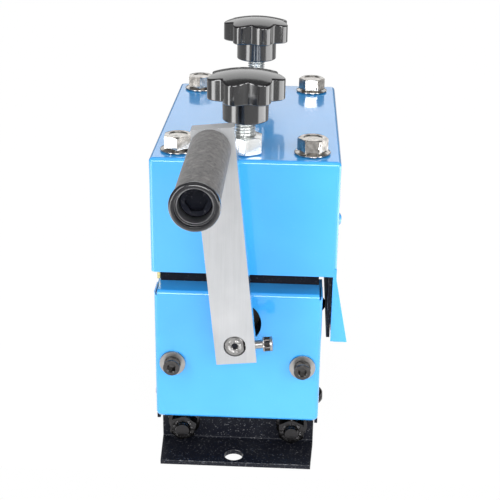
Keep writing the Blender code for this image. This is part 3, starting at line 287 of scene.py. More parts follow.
def black_coat(name, colour, roughness, metallic=0.0, dust=0.25, worn=False, **constants):
    """Satin black, with grey dust and, along an edge, rubbed steel."""
    coat = Finish(name, colour, roughness, metallic, **constants)
    cloud = coat.noise(55.0, 5.0, 0.65)
    base = coat.mix(cloud.above(0.45, 0.4) * dust * 0.45, colour, (0.06, 0.063, 0.07))
    speck = coat.noise(1100.0, 2.0, 0.6).above(0.62, 0.05)
    base = coat.mix(speck * dust, base, (0.24, 0.24, 0.25))
    if worn:
        rub = coat.noise(330.0, 5.0, 0.75).above(0.50, 0.10)
        base = coat.mix(rub * 0.55, base, (0.30, 0.30, 0.31))
    coat.set("Base Color", base)
    coat.set("Roughness", roughness - 0.06 + cloud * 0.14)
    coat.bump(coat.noise(1100.0, 3.0, 0.6), 0.00008, 0.5)
    return coat.material


def machined(name, colour, roughness, turned_about=None, clouds=150.0, depth=0.80, **constants):
    """Bare or plated steel with soft clouds. Turned steel has fine rings about an axis along Y."""
    metal = Finish(name, colour, roughness, 1.0, **constants)
    cloud = metal.noise(clouds, 4.0, 0.6)
    bright = tuple(min(1.0, part * 1.08) for part in colour)
    deep = tuple(part * depth for part in colour)
    metal.set("Base Color", metal.mix(cloud.above(0.3, 0.4), deep, bright))
    metal.set("Roughness", roughness - 0.05 + cloud * 0.12)
    if turned_about:
        rings = metal.noise(2600.0, 3.0, 0.6, metal.stretched((0.05, 1.0, 0.05), about=turned_about))
        metal.bump(rings, 0.00003, 0.6)
    else:
        metal.bump(metal.noise(1300.0, 2.0), 0.00002, 0.5)
    return metal.material


def brushed_aluminium(name, colour, roughness, lean):
    """A sawn and brushed bar: grain along its length, a few deeper scratches and soft milky clouds."""
    metal = Finish(name, colour, roughness, 0.55)
    along = metal.stretched((1.0, 1.0, 0.025), turn=(0.0, -lean, 0.0))
    fine = metal.noise(2600.0, 4.0, 0.65, along)
    broad = metal.noise(420.0, 3.0, 0.6, along)
    cloud = metal.noise(45.0, 3.0)
    grain = fine * 0.6 + broad * 0.4
    base = metal.mix(grain.above(0.30, 0.4), tuple(part * 0.86 for part in colour), colour)
    base = metal.mix(cloud.above(0.45, 0.3) * 0.35, base, (0.64, 0.64, 0.65))
    longer = metal.stretched((1.0, 1.0, 0.012), turn=(0.0, -lean, 0.0))
    scratch = metal.noise(700.0, 1.0, 0.3, longer).above(0.72, 0.02)
    metal.set("Base Color", metal.mix(scratch * 0.4, base, (0.45, 0.45, 0.46)))
    metal.set("Roughness", roughness + grain * 0.16 - 0.06)
    metal.bump(grain, 0.00004, 0.5)
    return metal.material


def yellow_zinc(name, colour):
    """Yellow passivated zinc: gold with a drift towards pink and green."""
    metal = Finish(name, colour, 0.32, 1.0)
    drift = metal.noise(38.0, 3.0)
    base = metal.mix(drift.above(0.35, 0.3), colour, (0.80, 0.72, 0.36))
    base = metal.mix(metal.noise(70.0, 2.0).above(0.55, 0.2) * 0.5, base, (0.78, 0.50, 0.36))
    metal.set("Base Color", base)
    metal.set("Roughness", 0.26 + metal.noise(300.0, 3.0) * 0.16)
    metal.bump(metal.noise(900.0, 2.0), 0.00003, 0.5)
    return metal.material


def gloss_plastic(name, colour, roughness=0.10, coat=0.6, **constants):
    """Moulded phenolic plastic: deep black, glossy, with a little dust and the faintest ripple."""
    plastic = Finish(name, colour, roughness, Coat_Weight=coat, Coat_Roughness=roughness * 0.5, **constants)
    speck = 1.0 - plastic.cells(420.0).above(0.05, 0.04)
    film = plastic.noise(90.0, 4.0, 0.6)
    base = plastic.mix(film.above(0.45, 0.4) * 0.5, colour, tuple(part * 1.9 for part in colour))
    plastic.set("Base Color", plastic.mix(speck * 0.12, base, (0.32, 0.32, 0.33)))
    plastic.set("Roughness", roughness + film * 0.10)
    plastic.bump(plastic.noise(240.0, 1.0) + plastic.noise(1400.0, 2.0) * 0.3, 0.00005, 0.35)
    return plastic.material


def grip_rubber(name, colour):
    """Matt moulded rubber with fine pits, pale where dust has settled."""
    rubber = Finish(name, colour, 0.62, Sheen_Weight=0.25, Sheen_Roughness=0.4)
    grain = rubber.noise(640.0, 4.0, 0.8)
    dust = rubber.noise(240.0, 5.0, 0.7)
    base = rubber.mix(grain.above(0.45, 0.09), colour, tuple(part * 3.0 for part in colour))
    base = rubber.mix(dust.above(0.49, 0.12) * 0.5, base, (0.20, 0.19, 0.18))
    blotch = rubber.noise(90.0, 3.0, 0.6).above(0.50, 0.16)
    base = rubber.mix(blotch * 0.35, base, (0.030, 0.029, 0.030))
    pit = 1.0 - rubber.cells(120.0).above(0.05, 0.04)
    rubber.set("Base Color", rubber.mix(pit * 0.75, base, (0.012, 0.012, 0.012)))
    rubber.set("Roughness", 0.56 + grain * 0.2)
    rubber.bump(grain + rubber.noise(500.0, 2.0) * 0.5, 0.00014, 0.6)
    return rubber.material


FINISHES = {}


def make_finishes(colours):
    blue = tuple(colours.enamel)
    crank_middle = tuple(value / 1000 for value in (0.0 - ORIGIN[0], 0.0 - ORIGIN[1], SHAFT_HEIGHT))
    cutter_middle = (crank_middle[0], crank_middle[1], CUTTER_HEIGHT / 1000)
    FINISHES.update(
        blue=enamel("blue_enamel_gloss", blue),
        # The edge variant is paler than the body colour: a painted highlight along the sheets' rounded cut
        # edges, with rubbed wear on top
        blue_edge=enamel("blue_enamel_edge_highlight_and_wear", tuple(min(1.0, part * 1.1 + 0.02) for part in blue), worn=True),
        black=black_coat(
            "black_satin_paint", (0.006, 0.007, 0.012), 0.36, dust=0.42, Specular_IOR_Level=0.16),
        frame=black_coat(
            "black_frame_paint", (0.004, 0.005, 0.010), 0.40, dust=0.18, Specular_IOR_Level=0.12),
        black_edge=black_coat(
            "black_paint_edge", (0.016, 0.017, 0.022), 0.34, worn=True, Specular_IOR_Level=0.4),
        oxide=black_coat("black_oxide_steel", (0.034, 0.033, 0.034), 0.13, 0.95, 0.10),
        browned=black_coat("browned_cap_steel", (0.070, 0.067, 0.066), 0.17, 0.9, 0.15),
        steel=machined("turned_steel", (0.34, 0.335, 0.33), 0.28, crank_middle),
        cutter=machined("ground_steel", (0.64, 0.64, 0.65), 0.22, cutter_middle),
        slide=machined("milled_steel", (0.46, 0.46, 0.47), 0.38),
        zinc=machined("bright_zinc_plate", (0.72, 0.685, 0.64), 0.16, clouds=340.0, depth=0.42),
        thread=machined("rolled_thread_zinc", (0.84, 0.86, 0.85), 0.42),
        washer=machined("satin_zinc_washer", (0.42, 0.41, 0.40), 0.34),
        nut=machined("pale_zinc_plate", (0.88, 0.89, 0.88), 0.22),
        yellow=yellow_zinc("yellow_zinc_plate", (0.78, 0.60, 0.20)),
        # A near-black brown for the shaft's bushes
        bush=black_coat("near_black_bronze", (0.022, 0.016, 0.010), 0.34, 0.6, 0.15),
        aluminium=brushed_aluminium("brushed_aluminium_bar", tuple(colours.aluminium), 0.42, CRANK_LEAN),
        # Pale aluminium: a painted highlight on the arm's right side, and the polished look of its rounded
        # cut edges
        bright_edge=machined("aluminium_highlight_and_polish", (0.90, 0.90, 0.91), 0.22),
        plastic=gloss_plastic("black_phenolic", tuple(colours.knob)),
        plastic_side=gloss_plastic(
            "polished_phenolic", tuple(colours.knob), 0.10, 1.0, Specular_IOR_Level=1.0),
        rubber=grip_rubber("grip_rubber_matt", tuple(colours.grip)),
        ring=gloss_plastic("grip_end_gloss", (0.007, 0.007, 0.009), 0.20),
        tube=machined("grip_liner_edge", (0.62, 0.62, 0.64), 0.34),
    )


# Mesh makers, in layout millimetres

def on_axis(axis):
    """Makes a place of two numbers across the axis and one along it."""
    return {
        "x": lambda a, b, along: Vector((along, a, b)),
        "y": lambda a, b, along: Vector((a, along, b)),
        "z": lambda a, b, along: Vector((a, b, along)),
    }[axis]


def prism(points, start, end, axis):
    """A flat outline drawn out along the axis."""
    at = on_axis(axis)
    bm = bmesh.new()
    face = bm.faces.new([bm.verts.new(at(a, b, start)) for a, b in points])
    grown = bmesh.ops.extrude_face_region(bm, geom=[face])
    verts = [item for item in grown["geom"] if isinstance(item, bmesh.types.BMVert)]
    bmesh.ops.translate(bm, vec=at(0, 0, end - start), verts=verts)
    bmesh.ops.recalc_face_normals(bm, faces=bm.faces)
    return bm


def rounded(corners, steps=8):
    """An outline whose corners (a, b, radius) are rounded by arcs."""
    points = []
    for index, (a, b, radius) in enumerate(corners):
        here = Vector((a, b))
        if not radius:
            points.append(here)
            continue
        before = (Vector(corners[index - 1][:2]) - here).normalized()
        after = (Vector(corners[(index + 1) % len(corners)][:2]) - here).normalized()
        half = before.angle(after) / 2
        middle = here + (before + after).normalized() * radius / math.sin(half)
        first = here + before * radius / math.tan(half) - middle
        last = here + after * radius / math.tan(half) - middle
        turn = first.angle_signed(last)
        points += [middle + Matrix.Rotation(-turn * step / steps, 2) @ first for step in range(steps + 1)]
    return points


def rectangle(a0, a1, b0, b1, radius=0.0):
    return rounded([(a0, b0, radius), (a1, b0, radius), (a1, b1, radius), (a0, b1, radius)])


def block(x, y, z):
    return prism(rectangle(x[0], x[1], y[0], y[1]), z[0], z[1], "z")


def hexagon(across_flats):
    corner = across_flats / math.sqrt(3)
    return [(corner * math.cos(math.pi * k / 3), corner * math.sin(math.pi * k / 3)) for k in range(6)]


def turned(profile, axis, steps=64, bored=False):
    """A turned solid: (radius, along) points spun round the axis."""
    at = on_axis(axis)
    bm = bmesh.new()
    verts = [bm.verts.new(at(radius, 0, along)) for radius, along in profile]
    pairs = list(zip(verts, verts[1:])) + ([(verts[-1], verts[0])] if bored else [])
    edges = [bm.edges.new(pair) for pair in pairs]
    bmesh.ops.spin(bm, geom=verts + edges, cent=(0, 0, 0), axis=at(0, 0, 1), angle=2 * math.pi, steps=steps)
    bmesh.ops.remove_doubles(bm, verts=bm.verts, dist=0.0005)
    bmesh.ops.recalc_face_normals(bm, faces=bm.faces)
    return bm


def rod(radius, start, end, axis, steps=48):
    return turned([(0, start), (radius, start), (radius, end), (0, end)], axis, steps)


def moved(bm, x=0, y=0, z=0):
    bmesh.ops.translate(bm, vec=(x, y, z), verts=bm.verts)
    return bm


def arc(a, b, radius, start, end, steps=5):
    """Points of an arc about (a, b), between two turns in quarters of a circle."""
    turns = [math.pi / 2 * (start + (end - start) * step / steps) for step in range(steps + 1)]
    return [(a + radius * math.cos(turn), b + radius * math.sin(turn)) for turn in turns]


def threaded(radius, depth, pitch, low, high, around=40, rows=6):
    """A screw thread along Z, with its ends closed. Each row of points climbs the helix."""
    bm = bmesh.new()
    count = int((high - low) / pitch * rows) + 1
    rings = []
    for row in range(count + 1):
        along = low + (high - low) * row / count
        ring = []
        for step in range(around):
            turn = 2 * math.pi * step / around
            wave = abs((along / pitch - turn / (2 * math.pi)) % 1.0 - 0.5) * 2
            fade = min(1.0, (high - along) / pitch, (along - low) / pitch)
            reach = radius - depth * max(wave, 1.0 - fade)
            ring.append(bm.verts.new((reach * math.cos(turn), reach * math.sin(turn), along)))
        rings.append(ring)
    for below, above in zip(rings, rings[1:]):
        for step in range(around):
            after = (step + 1) % around
            bm.faces.new((below[step], below[after], above[after], above[step]))
    bm.faces.new(reversed(rings[0]))
    bm.faces.new(rings[-1])
    return bm


# Objects: raw shapes, cuts and the last steps that make a piece of them

def raw(name, bm, *finishes):
    """An object of a drawn shape, with the finishes named. The shape is used up."""
    mesh = bpy.data.meshes.new(name)
    bm.to_mesh(mesh)
    bm.free()
    obj = bpy.data.objects.new(name, mesh)
    bpy.context.scene.collection.objects.link(obj)
    for finish in finishes:
        mesh.materials.append(FINISHES[finish])
    return obj


def shape_with(obj, operation, bm):
    """One Boolean with a closed shape, which is used up."""
    tool = raw(f"{obj.name}_tool", bm)
    change = obj.modifiers.new(operation, "BOOLEAN")
    change.operation = operation
    change.object = tool
    plain(obj)
    bpy.data.objects.remove(tool)


def cut(obj, *shapes):
    for bm in shapes:
        shape_with(obj, "DIFFERENCE", bm)


def join(obj, *shapes):
    for bm in shapes:
        shape_with(obj, "UNION", bm)


def plain(obj):
    """Turns an object's modifiers into its mesh."""
    bpy.context.view_layer.update()
    graph = bpy.context.evaluated_depsgraph_get()
    mesh = bpy.data.meshes.new_from_object(obj.evaluated_get(graph), depsgraph=graph)
    obj.modifiers.clear()
    old = obj.data
    obj.data = mesh
    bpy.data.meshes.remove(old)


def in_triangles(obj):
    """Splits faces of many corners evenly, so that no long sliver starts at a hole's rim."""
    change = obj.modifiers.new("Triangles", "TRIANGULATE")
    change.min_vertices = 5
    change.ngon_method = "BEAUTY"
    change.keep_custom_normals = True
    plain(obj)


def soften(obj, width, segments=2, angle=32.0, edge_finish=False):
    """Rounds the sharp edges. With an edge finish, the rounded faces take the piece's second material."""
    if edge_finish:
        in_triangles(obj)
    change = obj.modifiers.new("Edges", "BEVEL")
    change.width = width
    change.segments = segments
    change.limit_method = "ANGLE"
    change.angle_limit = math.radians(angle)
    change.miter_outer = "MITER_ARC"
    change.loop_slide = False
    if edge_finish:
        change.material = 1
    plain(obj)


def flat_regions(mesh):
    """The normal of each face in a large flat region, also where a cut has left slivers in it."""
    beside, planes, waiting = {}, {}, []
    for face in mesh.polygons:
        for key in face.edge_keys:
            beside.setdefault(key, []).append(face)
        places = [mesh.vertices[index].co for index in face.vertices]
        outline = sum((place - places[step - 1]).length for step, place in enumerate(places))
        if face.area > FLAT_AREA and 16 * face.area > COMPACT_SHARE * outline * outline:
            planes[face.index] = face.center.copy(), face.normal.copy()
            waiting.append(face)
    while waiting:
        face = waiting.pop()
        middle, normal = planes[face.index]
        for key in face.edge_keys:
            for other in beside[key]:
                heights = ((mesh.vertices[index].co - middle).dot(normal) for index in other.vertices)
                if other.index not in planes and all(abs(height) < FLATNESS for height in heights):
                    planes[other.index] = middle, normal
                    waiting.append(other)
    return {index: normal for index, (middle, normal) in planes.items()}


def shaded(obj, angle=40.0):
    """Smooth shading with sharp edges, in which large flat regions stay exactly flat."""
    obj.data.shade_smooth()
    obj.data.set_sharp_from_angle(angle=math.radians(angle))
    change = obj.modifiers.new("Normals", "WEIGHTED_NORMAL")
    change.keep_sharp = True
    plain(obj)
    mesh = obj.data
    flat = flat_regions(mesh)
    touching = {}
    for index, normal in flat.items():
        for vertex in mesh.polygons[index].vertices:
            touching.setdefault(vertex, []).append(normal)
    normals = [corner.vector.copy() for corner in mesh.corner_normals]
    limit = math.radians(min(angle, 35.0))
    for face in mesh.polygons:
        for loop in face.loop_indices:
            near = touching.get(mesh.loops[loop].vertex_index, ())
            if face.index in flat:
                normals[loop] = flat[face.index]
            elif near:
                best = min(near, key=lambda normal: normals[loop].angle(normal, 0.0))
                if normals[loop].angle(best, 0.0) < limit:
                    normals[loop] = best
    mesh.normals_split_custom_set(normals)
    in_triangles(obj)


TO_FRAME = Matrix.Translation((-ORIGIN[0] / 1000, -ORIGIN[1] / 1000, 0.0)) @ Matrix.Scale(0.001, 4)


def keep(obj, body, slot, *nodes, within=Matrix.Identity(4), angle=40.0):
    """Finishes a piece: shades it, carries it to the frame and makes it ride on its body."""
    shaded(obj, angle)
    obj.data.transform(TO_FRAME @ within)
    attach(obj, body)
    if nodes:
        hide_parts(*nodes)
    return obj


CRANK_PLACE = Matrix.Translation((0, 0, SHAFT_HEIGHT)) @ Matrix.Rotation(CRANK_LEAN, 4, "Y")
GRIP_PLACE = CRANK_PLACE @ Matrix.Translation((PIN_OFFSET, 0, ARM_THROW))
CUTTER_PLACE = Matrix.Translation((0, 0, CUTTER_HEIGHT))


def ends():
    """Each end's name, and where the middle of its frame is."""
    return (("front", FRAME_MID), ("rear", BODY_LENGTH - FRAME_MID))


def turned_round(bm):
    """A shape drawn for the front end, turned to the rear one."""
    half_turn = Matrix.Rotation(math.pi, 3, "Z")
    bmesh.ops.rotate(bm, cent=(0, BODY_LENGTH / 2, 0), matrix=half_turn, verts=bm.verts)
    return bm


# Geometry node trees

def tree_with(name, inputs):
    """A geometry node tree with its named inputs, and its input and output nodes."""
    tree = bpy.data.node_groups.new(name, "GeometryNodeTree")
    tree.interface.new_socket("Geometry", in_out="INPUT", socket_type="NodeSocketGeometry")
    tree.interface.new_socket("Geometry", in_out="OUTPUT", socket_type="NodeSocketGeometry")
    for label, kind in inputs:
        tree.interface.new_socket(label, in_out="INPUT", socket_type=f"NodeSocket{kind}")
    return tree, tree.nodes.new("NodeGroupInput"), tree.nodes.new("NodeGroupOutput")


def close_tree(tree, geometry, given, out):
    """Every tree ends in Realize Instances and Set Material."""
    real = add_node(tree, "GeometryNodeRealizeInstances", None, {0: geometry})
    last = add_node(tree, "GeometryNodeSetMaterial", None, {0: real.outputs[0], 2: given.outputs["Finish"]})
    tree.links.new(last.outputs[0], out.inputs[0])


def run_tree(obj, tree, **values):
    """Sets a tree's named inputs by their sockets' identifiers, then turns its result into the mesh."""
    change = obj.modifiers.new(tree.name, "NODES")
    change.node_group = tree
    for item in tree.interface.items_tree:
        if item.in_out == "INPUT" and item.name in values:
            change[item.identifier] = values[item.name]
    plain(obj)


def vector_of(tree, x=0.0, y=0.0, z=0.0):
    node = add_node(tree, "ShaderNodeCombineXYZ", None, {0: x, 1: y, 2: z})
    return node.outputs[0]


def fastener_tree():
    """One fastener at the four corners of a rectangle. The left or the rear ones may be turned round."""
    tree, given, out = tree_with("fastener_rows", [
        ("Middle", "Vector"), ("Across", "Float"), ("Along", "Float"), ("Turn Left", "Float"),
        ("Turn Rear", "Float"), ("Axis", "Vector"), ("Loose Turn", "Float"), ("Seed", "Int"),
        ("Finish", "Material"),
    ])
    across = Term(tree, given.outputs["Across"])
    along = Term(tree, given.outputs["Along"])
    rows = add_node(tree, "GeometryNodeJoinGeometry")
    for side in (0, 1):
        offset = vector_of(tree, across * -0.5, along * (side - 0.5))
        values = {0: given.outputs["Middle"], 1: offset}
        start = add_node(tree, "ShaderNodeVectorMath", {"operation": "ADD"}, values)
        line = add_node(tree, "GeometryNodeMeshLine", None, {"Count": 2, "Start Location": start.outputs[0]})
        feed(tree, line.inputs["Offset"], vector_of(tree, across))
        index = Term(tree, add_node(tree, "GeometryNodeInputIndex").outputs[0])
        turn_left, turn_rear = (Term(tree, given.outputs[name]) for name in ("Turn Left", "Turn Rear"))
        turn = (1.0 - index) * turn_left + turn_rear * side
        values = {"Seed": given.outputs["Seed"]}
        chance = add_node(tree, "FunctionNodeRandomValue", {"data_type": "FLOAT"}, values)
        loose = Term(tree, chance.outputs[1]) * Term(tree, given.outputs["Loose Turn"])
        values = {0: given.outputs["Axis"], "Scale": loose}
        spin = add_node(tree, "ShaderNodeVectorMath", {"operation": "SCALE"}, values)
        ready = add_node(tree, "GeometryNodeInstanceOnPoints", None, {
            "Points": line.outputs[0], "Instance": given.outputs[0],
            "Rotation": vector_of(tree, 0.0, 0.0, turn),
        })
        spun = add_node(tree, "GeometryNodeRotateInstances", None, {0: ready.outputs[0], 2: spin.outputs[0]})
        tree.links.new(spun.outputs[0], rows.inputs[0])
    close_tree(tree, rows.outputs[0], given, out)
    return tree


def knurl_tree():
    """Sets one tooth round a roller as many times as asked."""
    inputs = [("Teeth", "Int"), ("Radius", "Float"), ("Finish", "Material")]
    tree, given, out = tree_with("roller_teeth", inputs)
    values = {0: given.outputs["Teeth"], 1: given.outputs["Radius"]}
    ring = add_node(tree, "GeometryNodeMeshCircle", None, values)
    index = Term(tree, add_node(tree, "GeometryNodeInputIndex").outputs[0])
    turn = index * (2 * math.pi) / Term(tree, given.outputs["Teeth"])
    teeth = add_node(tree, "GeometryNodeInstanceOnPoints", None, {
        "Points": ring.outputs[0], "Instance": given.outputs[0], "Rotation": vector_of(tree, 0.0, 0.0, turn),
    })
    close_tree(tree, teeth.outputs[0], given, out)
    return tree


def star_tree():
    """A lobed knob head: a round drum whose radius swells once for each lobe, under a low dome."""
    tree, given, out = tree_with("star_head", [
        ("Lobes", "Int"), ("Radius", "Float"), ("Valley", "Float"), ("Power", "Float"), ("Height", "Float"),
        ("Dome", "Float"), ("Finish", "Material"),
    ])
    radius = Term(tree, given.outputs["Radius"])
    valley = Term(tree, given.outputs["Valley"])
    drum = add_node(tree, "GeometryNodeMeshCylinder", {"fill_type": "TRIANGLE_FAN"}, {
        "Vertices": 168, "Side Segments": 3, "Fill Segments": 12, "Radius": radius,
        "Depth": given.outputs["Height"],
    })
    position = add_node(tree, "GeometryNodeInputPosition").outputs[0]
    split = add_node(tree, "ShaderNodeSeparateXYZ", None, {0: position})
    x, y, z = (Term(tree, socket) for socket in split.outputs)
    turn = y.math("ARCTAN2", x)
    lobes, power = Term(tree, given.outputs["Lobes"]), Term(tree, given.outputs["Power"])
    wave = ((turn * lobes).cos() * 0.5 + 0.5) ** power
    swell = (valley + (radius - valley) * wave) / radius
    reach = ((x * x + y * y) ** 0.5) * swell / radius
    is_top = z.above(Term(tree, given.outputs["Height"]) * 0.45, 0.001)
    lift = is_top * Term(tree, given.outputs["Dome"]) * (1.0 - reach * reach)
    place = vector_of(tree, x * swell, y * swell, z + lift)
    shaped = add_node(tree, "GeometryNodeSetPosition", None, {0: drum.outputs[0], "Position": place})
    close_tree(tree, shaped.outputs[0], given, out)
    return tree


# What a user may change

class MachineSizes(bpy.types.PropertyGroup):
    """Small sizes of the dressed machine. The main ones follow the solids."""

    sheet_bend: bpy.props.FloatProperty(
        name="Sheet bend", description="Outer radius of the folded covers, in millimetres",
        default=2.2, min=0.5)
    edge_softness: bpy.props.FloatProperty(
        name="Edge softness", description="Radius of the sheets' cut edges, in millimetres",
        default=0.28, min=0.05)
    roller_teeth: bpy.props.IntProperty(
        name="Roller teeth", description="Number of teeth round the feed roller", default=72, min=12)
    knob_lobes: bpy.props.IntProperty(
        name="Knob lobes", description="Number of lobes on each star knob", default=7, min=3)
    thread_pitch: bpy.props.FloatProperty(
        name="Thread pitch", description="Pitch of the adjusting rods, in millimetres", default=1.5, min=0.5)
    fastener_seed: bpy.props.IntProperty(
        name="Fastener seed", description="Changes how far each screw head is turned", default=5)


class MachineColours(bpy.types.PropertyGroup):
    """Main colours of the machine."""

    enamel: bpy.props.FloatVectorProperty(
        name="Enamel", description="Colour of the covers", subtype="COLOR", default=(0.042, 0.385, 0.900))
    aluminium: bpy.props.FloatVectorProperty(
        name="Aluminium", description="Colour of the crank arm", subtype="COLOR", default=(0.50, 0.51, 0.525))
    knob: bpy.props.FloatVectorProperty(
        name="Knobs", description="Colour of the star knobs", subtype="COLOR", default=(0.006, 0.006, 0.007))
    grip: bpy.props.FloatVectorProperty(
        name="Grip", description="Colour of the crank's grip", subtype="COLOR", default=(0.034, 0.032, 0.032))


# Operators, one for each piece or group of like pieces

class DressStep(bpy.types.Operator):
    """A step that dresses part of the machine."""

    bl_options = {"REGISTER", "UNDO"}

    def execute(self, context):
        self.dress(context.scene.machine_sizes, context.scene.machine_colours)
        return {"FINISHED"}


class MACHINE_OT_finishes(DressStep):
    """Makes the materials and gives the solids that stay in view theirs"""

    bl_idname = "machine.finishes"
    bl_label = "Finishes"

    def dress(self, sizes, colours):
        make_finishes(colours)
        stay = {
            "frame": ("front_frame", "rear_frame"),
            "slide": ("front_bearing_block", "rear_bearing_block"),
        }
        for finish, nodes in stay.items():
            for node in nodes:
                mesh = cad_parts[node].data
                mesh.materials.clear()
                mesh.materials.append(FINISHES[finish])


class MACHINE_OT_cover(DressStep):
    """Folded upper cover, with the exit guard that hangs from its right wall"""

    bl_idname = "machine.cover"
    bl_label = "Cover"

    def dress(self, sizes, colours):
        shell = block((COVER_LEFT, COVER_RIGHT), (COVER_NEAR, COVER_FAR), (COVER_BOTTOM, COVER_TOP))
        folds = [edge for edge in shell.edges if any(vert.co.z > COVER_TOP - GAP for vert in edge.verts)]
        bmesh.ops.bevel(shell, geom=folds, offset=sizes.sheet_bend, segments=8, profile=0.5, affect="EDGES")
        hood = raw("blue_cover", shell, "blue", "blue_edge")
        left, right = COVER_LEFT + COVER_SHEET, COVER_RIGHT - COVER_SHEET
        inner_y = (COVER_NEAR + COVER_SHEET, COVER_FAR - COVER_SHEET)
        cut(hood, block((left, right), inner_y, (COVER_BOTTOM - OVERRUN, COVER_TOP - COVER_SHEET)))
        near, far = COVER_NEAR + 0.02, COVER_FAR - 0.02
        wall = rounded([
            (near, GUARD_BOTTOM, GUARD_CORNER), (far, GUARD_BOTTOM, GUARD_CORNER),
            (far, COVER_BOTTOM + 4, 0), (near, COVER_BOTTOM + 4, 0),
        ])
        gusset = [
            (COVER_RIGHT - 0.9, COVER_BOTTOM + 3.6), (COVER_RIGHT - 0.9, GUARD_BOTTOM + 2.0),
            (COVER_RIGHT, GUARD_BOTTOM + 0.5), (COVER_RIGHT + GUARD_FLARE, GUARD_BOTTOM + 0.5),
        ]
        join(hood, prism(wall, right + 0.01, COVER_RIGHT - 0.02, "x"))
        for start in (COVER_NEAR + 0.1, COVER_FAR - 0.1 - GUSSET_SHEET):
            join(hood, prism(gusset, start, start + GUSSET_SHEET, "y"))
        window = (COVER_NEAR + COVER_WINDOW_INSET, COVER_FAR - COVER_WINDOW_INSET)
        inlet = (COVER_LEFT - OVERRUN, left + OVERRUN), window, (COVER_BOTTOM - OVERRUN, INLET_TOP)
        outlet = (right - OVERRUN, COVER_RIGHT + OVERRUN), window, EXIT_WINDOW
        cut(hood, block(*inlet))
        cut(hood, block(*outlet))
        above = (COVER_TOP - 3, COVER_TOP + 1)
        for _, y in ends():
            cut(hood, moved(rod(ROD_HOLE, *above, "z"), x=TOP_ROW_X, y=y))
            for side in (-0.5, 0.5):
                hole = rod(COVER_BOLT_HOLE, *above, "z")
                cut(hood, moved(hole, x=TOP_ROW_X + side * TOP_ROW_SPAN, y=y))
        soften(hood, sizes.edge_softness, 2, 50.0, edge_finish=True)
        keep(hood, "root", "blue_enamel", "cover", angle=50.0)


class MACHINE_OT_panels(DressStep):
    """Folded lower panels at the front and rear"""

    bl_idname = "machine.panels"
    bl_label = "Lower panels"

    def tray(self, sizes, front):
        outline = rounded([
            (-PANEL_HALF, PANEL_BOTTOM, PANEL_CORNER), (PANEL_HALF, PANEL_BOTTOM, PANEL_CORNER),
            (PANEL_HALF, PANEL_TOP, 0), (-PANEL_HALF, PANEL_TOP, 0),
        ])
        tray = prism(outline, 0, PANEL_DEPTH, "y")
        rim = [edge for edge in tray.edges if all(vert.co.y < GAP for vert in edge.verts)]
        bmesh.ops.bevel(tray, geom=rim, offset=sizes.sheet_bend, segments=8, profile=0.5, affect="EDGES")
        inner, corner = PANEL_HALF - PANEL_SHEET, PANEL_CORNER - PANEL_SHEET
        inside = rounded([
            (-inner, PANEL_BOTTOM + PANEL_SHEET, corner), (inner, PANEL_BOTTOM + PANEL_SHEET, corner),
            (inner, PANEL_TOP - PANEL_SHEET, 0), (-inner, PANEL_TOP - PANEL_SHEET, 0),
        ])
        wide = (-PANEL_HALF - OVERRUN, PANEL_HALF + OVERRUN)
        behind, over = PANEL_DEPTH + OVERRUN, PANEL_TOP + OVERRUN
        through = (-OVERRUN, PANEL_SHEET + OVERRUN)
        tools = [
            prism(inside, PANEL_SHEET, behind, "y"),
            block(wide, (PANEL_LIP_DEPTH, behind), (PANEL_LIP_BOTTOM, over)),
            block(wide, (PANEL_RETURN, behind), (0, PANEL_BOTTOM + PANEL_CORNER)),
        ]
        for side in (-1, 1):
            near, far = sorted((side * inner, side * (inner + SLIT_WIDTH)))
            slit = rounded([
                (near, SLIT_BOTTOM, SLIT_ROUND), (far, SLIT_BOTTOM, SLIT_ROUND),
                (far, over, 0), (near, over, 0),
            ], 6)
            low, high = sorted((side * inner, side * (PANEL_HALF + OVERRUN)))
            rail_low, rail_high = sorted((side * (inner - GAP), side * (PANEL_HALF + OVERRUN)))
            hole = rod(2.8, *through, "y")
            tools += [
                prism(slit, -OVERRUN, behind, "y"),
                block((low, high), (-OVERRUN, behind), (PANEL_NOTCH_BOTTOM, over)),
                block((rail_low, rail_high), (PANEL_SHEET + OVERRUN, behind), (0, RAIL_TOP + GAP)),
                moved(hole, x=side * PANEL_SCREW_SPAN / 2, z=PANEL_SCREW_HEIGHT),
            ]
        if front:
            tools.append(moved(rod(SHAFT_OPENING, *through, "y", 96), z=SHAFT_HEIGHT))
        return tray, tools

    def dress(self, sizes, colours):
        for end in ("front", "rear"):
            tray, tools = self.tray(sizes, end == "front")
            if end == "rear":
                tray, tools = turned_round(tray), [turned_round(tool) for tool in tools]
            panel = raw(f"blue_panel_{end}", tray, "blue", "blue_edge")
            cut(panel, *tools)
            soften(panel, sizes.edge_softness, 2, 50.0, edge_finish=True)
            keep(panel, "root", "blue_enamel", f"{end}_panel", angle=50.0)


